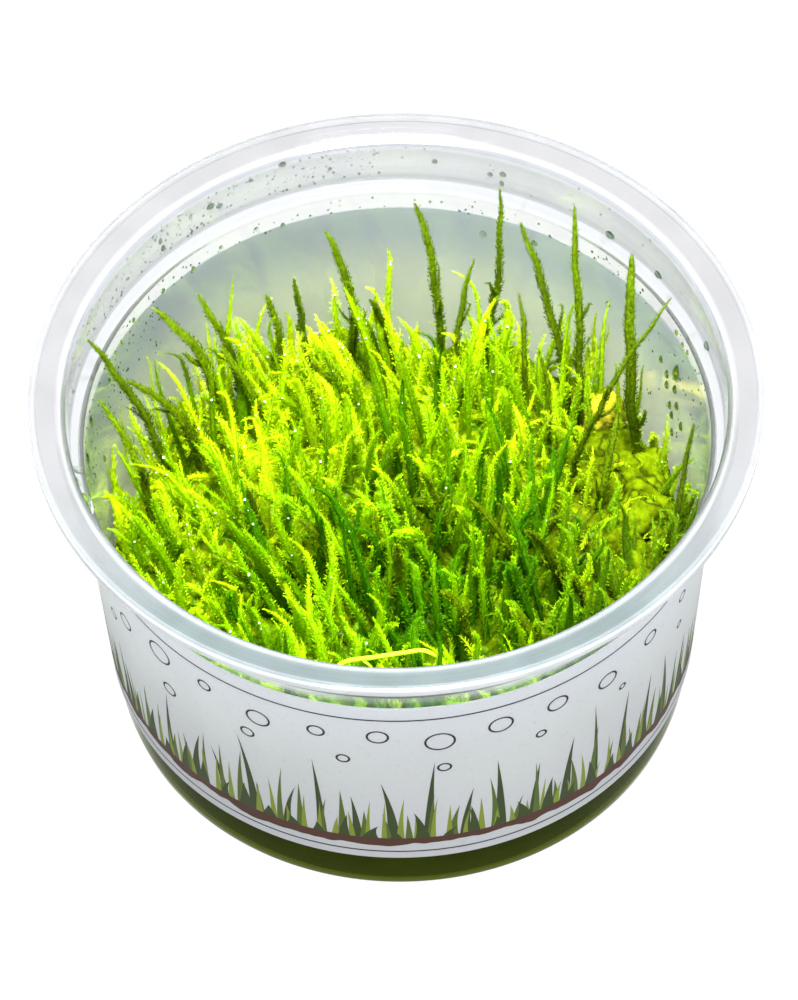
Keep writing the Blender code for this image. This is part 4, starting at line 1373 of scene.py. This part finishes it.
def drop_mesh(drops, sizes, rings=3, sides=10):
    """Drops on the tub's inner side. On each, share p of the way out at turn q is at half a width p cos q
    across, half a length p sin q up, with its sides drawn in above, and bulge (1 - p^2)^0.5 inwards."""
    turn, height, wide, tall = (drops[:, k, None, None] for k in range(4))
    part = np.linspace(1, 0, rings, endpoint=False)[None, :, None]
    around = full_turn(sides)[None, None, :]
    across = 0.5 * wide * np.cos(around) * part * (1 - DROP_SHOULDER * np.sin(around))
    z = height + 0.5 * tall * (np.sin(around) * part)
    radius = inner_radius(z) - sizes.gap - sizes.bulge * wide * np.sqrt(1 - part**2)
    cap = round_axis(radius, turn + across / radius, z).reshape(len(drops), -1, 3)
    height, turn, wide = height[..., 0], turn[..., 0], wide[..., 0]
    seat = inner_radius(height) - sizes.gap
    crest = seat - sizes.bulge * wide
    points = np.concatenate((cap, round_axis(crest, turn, height), round_axis(seat, turn, height)), 1)
    each = points.shape[1]
    faces = repeated(closed_faces(rings, sides, each - 1, each - 2), len(drops), each)
    return points.reshape(-1, 3), faces


class MOSS_OT_drops(bpy.types.Operator):
    """Settles the condensation drops on the inside of the tub"""

    bl_idname = "moss.drops"
    bl_label = "Condensation drops"

    def execute(self, context):
        sizes = context.scene.moss_drops
        rng = np.random.default_rng(sizes.seed)
        # The green water's dim green is painted: it stands for the moss seen through the drops
        green = water("water_with_painted_moss_tint", (0.50, 0.60, 0.50))
        clear = water("clear_water", (0.88, 0.93, 0.88))
        mist = []
        for low_turn, high_turn, low, high, number in MISTS:
            width = rng.uniform(0.25, 0.62, number) ** 1.6
            mist.append(np.stack((rng.uniform(low_turn, high_turn, number), rng.uniform(low, high, number),
                                  width, width * rng.uniform(0.9, 1.5, number)), -1))
        groups = {
            "collar_drops": np.array(COLLAR_DROPS),
            "strip_drops": np.array(STRIP_DROPS),
            "wall_drops": np.array(WALL_DROPS),
            "mist_drops": np.concatenate(mist),
        }
        for name, rows in groups.items():
            rows = rows * np.array((math.radians(1), MM, MM, MM))
            points, faces = drop_mesh(rows, sizes)
            material = clear if name == "strip_drops" else green
            piece = build(name, points, faces, material, sharp=math.radians(60))
            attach(piece, "root")
        return {"FINISHED"}


# The soft light overhead: its width, and where it hangs
LAMP_WIDTH = 0.24
LAMP_PLACE = (0.03, -0.13, 0.79)

# How far the floor lies under the tub's foot
FLOOR_GAP = 0.2 * MM


class MOSS_OT_stage(bpy.types.Operator):
    """Sets the pale floor, the soft light and the camera"""

    bl_idname = "moss.stage"
    bl_label = "Stage"

    def execute(self, context):
        stage = context.scene.moss_stage
        half = stage.floor / 2
        corners = np.array([(-half, -half), (half, -half), (half, half), (-half, half)])
        points = np.concatenate((corners, np.full((4, 1), -FLOOR_GAP)), 1)
        floor = build("pale_floor", points, [np.arange(4)[None]], floor_finish(stage))
        world = bpy.data.worlds.new("soft_sky")
        world.use_nodes = True
        sky = world.node_tree.nodes["Background"]
        sky.inputs["Color"].default_value = (*stage.sky_colour, 1.0)
        sky.inputs["Strength"].default_value = stage.sky
        context.scene.world = world
        add_soft_light("overhead", stage, LAMP_WIDTH, Vector(LAMP_PLACE))
        add_camera(stage)
        context.scene.view_settings.view_transform = "Standard"
        return {"FINISHED"}


def add_soft_light(name, stage, width, place):
    """A square soft light that faces the tub."""
    light = bpy.data.lights.new(name, "AREA")
    light.energy = stage.key
    light.spread = stage.key_spread
    light.size = width
    lamp = bpy.data.objects.new(name, light)
    lamp.location = place
    lamp.rotation_mode = "QUATERNION"
    lamp.rotation_quaternion = (-place).to_track_quat("-Z", "Y")
    bpy.context.scene.collection.objects.link(lamp)


def add_camera(stage):
    """The camera: its distance back from the rim's centre along its view, then aside and below, and rolled."""
    rise, run = math.sin(stage.elevation), math.cos(stage.elevation)
    right, up, back = Vector((1, 0, 0)), Vector((0, rise, run)), Vector((0, -run, rise))
    data = bpy.data.cameras.new("camera")
    data.lens = stage.lens
    data.sensor_width = 36
    data.clip_start = 0.01
    data.clip_end = 20
    camera = bpy.data.objects.new("camera", data)
    place = Vector((0, 0, TUB_HEIGHT)) + stage.distance * back + stage.aside * right - stage.below * up
    upright = Matrix((right, up, back)).transposed()
    turn = upright @ Matrix.Rotation(-stage.roll, 3, "Z")
    camera.matrix_world = Matrix.Translation(place) @ turn.to_4x4()
    bpy.context.scene.collection.objects.link(camera)
    bpy.context.scene.camera = camera


class MOSS_PT_panel(bpy.types.Panel):
    """Lists the steps that build the moss and its tub"""

    bl_label = "Moss in a tub"
    bl_idname = "MOSS_PT_panel"
    bl_space_type = "VIEW_3D"
    bl_region_type = "UI"
    bl_category = "Moss"

    def draw(self, context):
        for operator in OPERATORS:
            self.layout.operator(operator.bl_idname)
        for group in GROUPS:
            box = self.layout.box()
            for name in group[1].__annotations__:
                box.prop(getattr(context.scene, group[0]), name)


GROUPS = [("moss_tub", TubSizes), ("moss_label", LabelSizes), ("moss_growth", MossSizes),
          ("moss_drops", DropSizes), ("moss_stage", StageSizes)]
OPERATORS = [MOSS_OT_stage, MOSS_OT_tub, MOSS_OT_label, MOSS_OT_gel, MOSS_OT_lumps, MOSS_OT_mat,
             MOSS_OT_long_shoots, MOSS_OT_arch, MOSS_OT_drops]


def register():
    """Makes the steps, their sizes and the panel known."""
    for name, group in GROUPS:
        bpy.utils.register_class(group)
        setattr(bpy.types.Scene, name, PointerProperty(type=group))
    for cls in OPERATORS + [MOSS_PT_panel]:
        bpy.utils.register_class(cls)


def unregister():
    """Takes back what register() made known, the last of it first."""
    for cls in reversed(OPERATORS + [MOSS_PT_panel]):
        bpy.utils.unregister_class(cls)
    for name, group in reversed(GROUPS):
        delattr(bpy.types.Scene, name)
        bpy.utils.unregister_class(group)


def main():
    """Builds everything in order."""
    register()
    bpy.ops.moss.stage()
    bpy.ops.moss.tub()
    bpy.ops.moss.label()
    bpy.ops.moss.gel()
    bpy.ops.moss.lumps()
    bpy.ops.moss.mat()
    bpy.ops.moss.long_shoots()
    bpy.ops.moss.arch()
    bpy.ops.moss.drops()


if __name__ == "__main__":
    main()
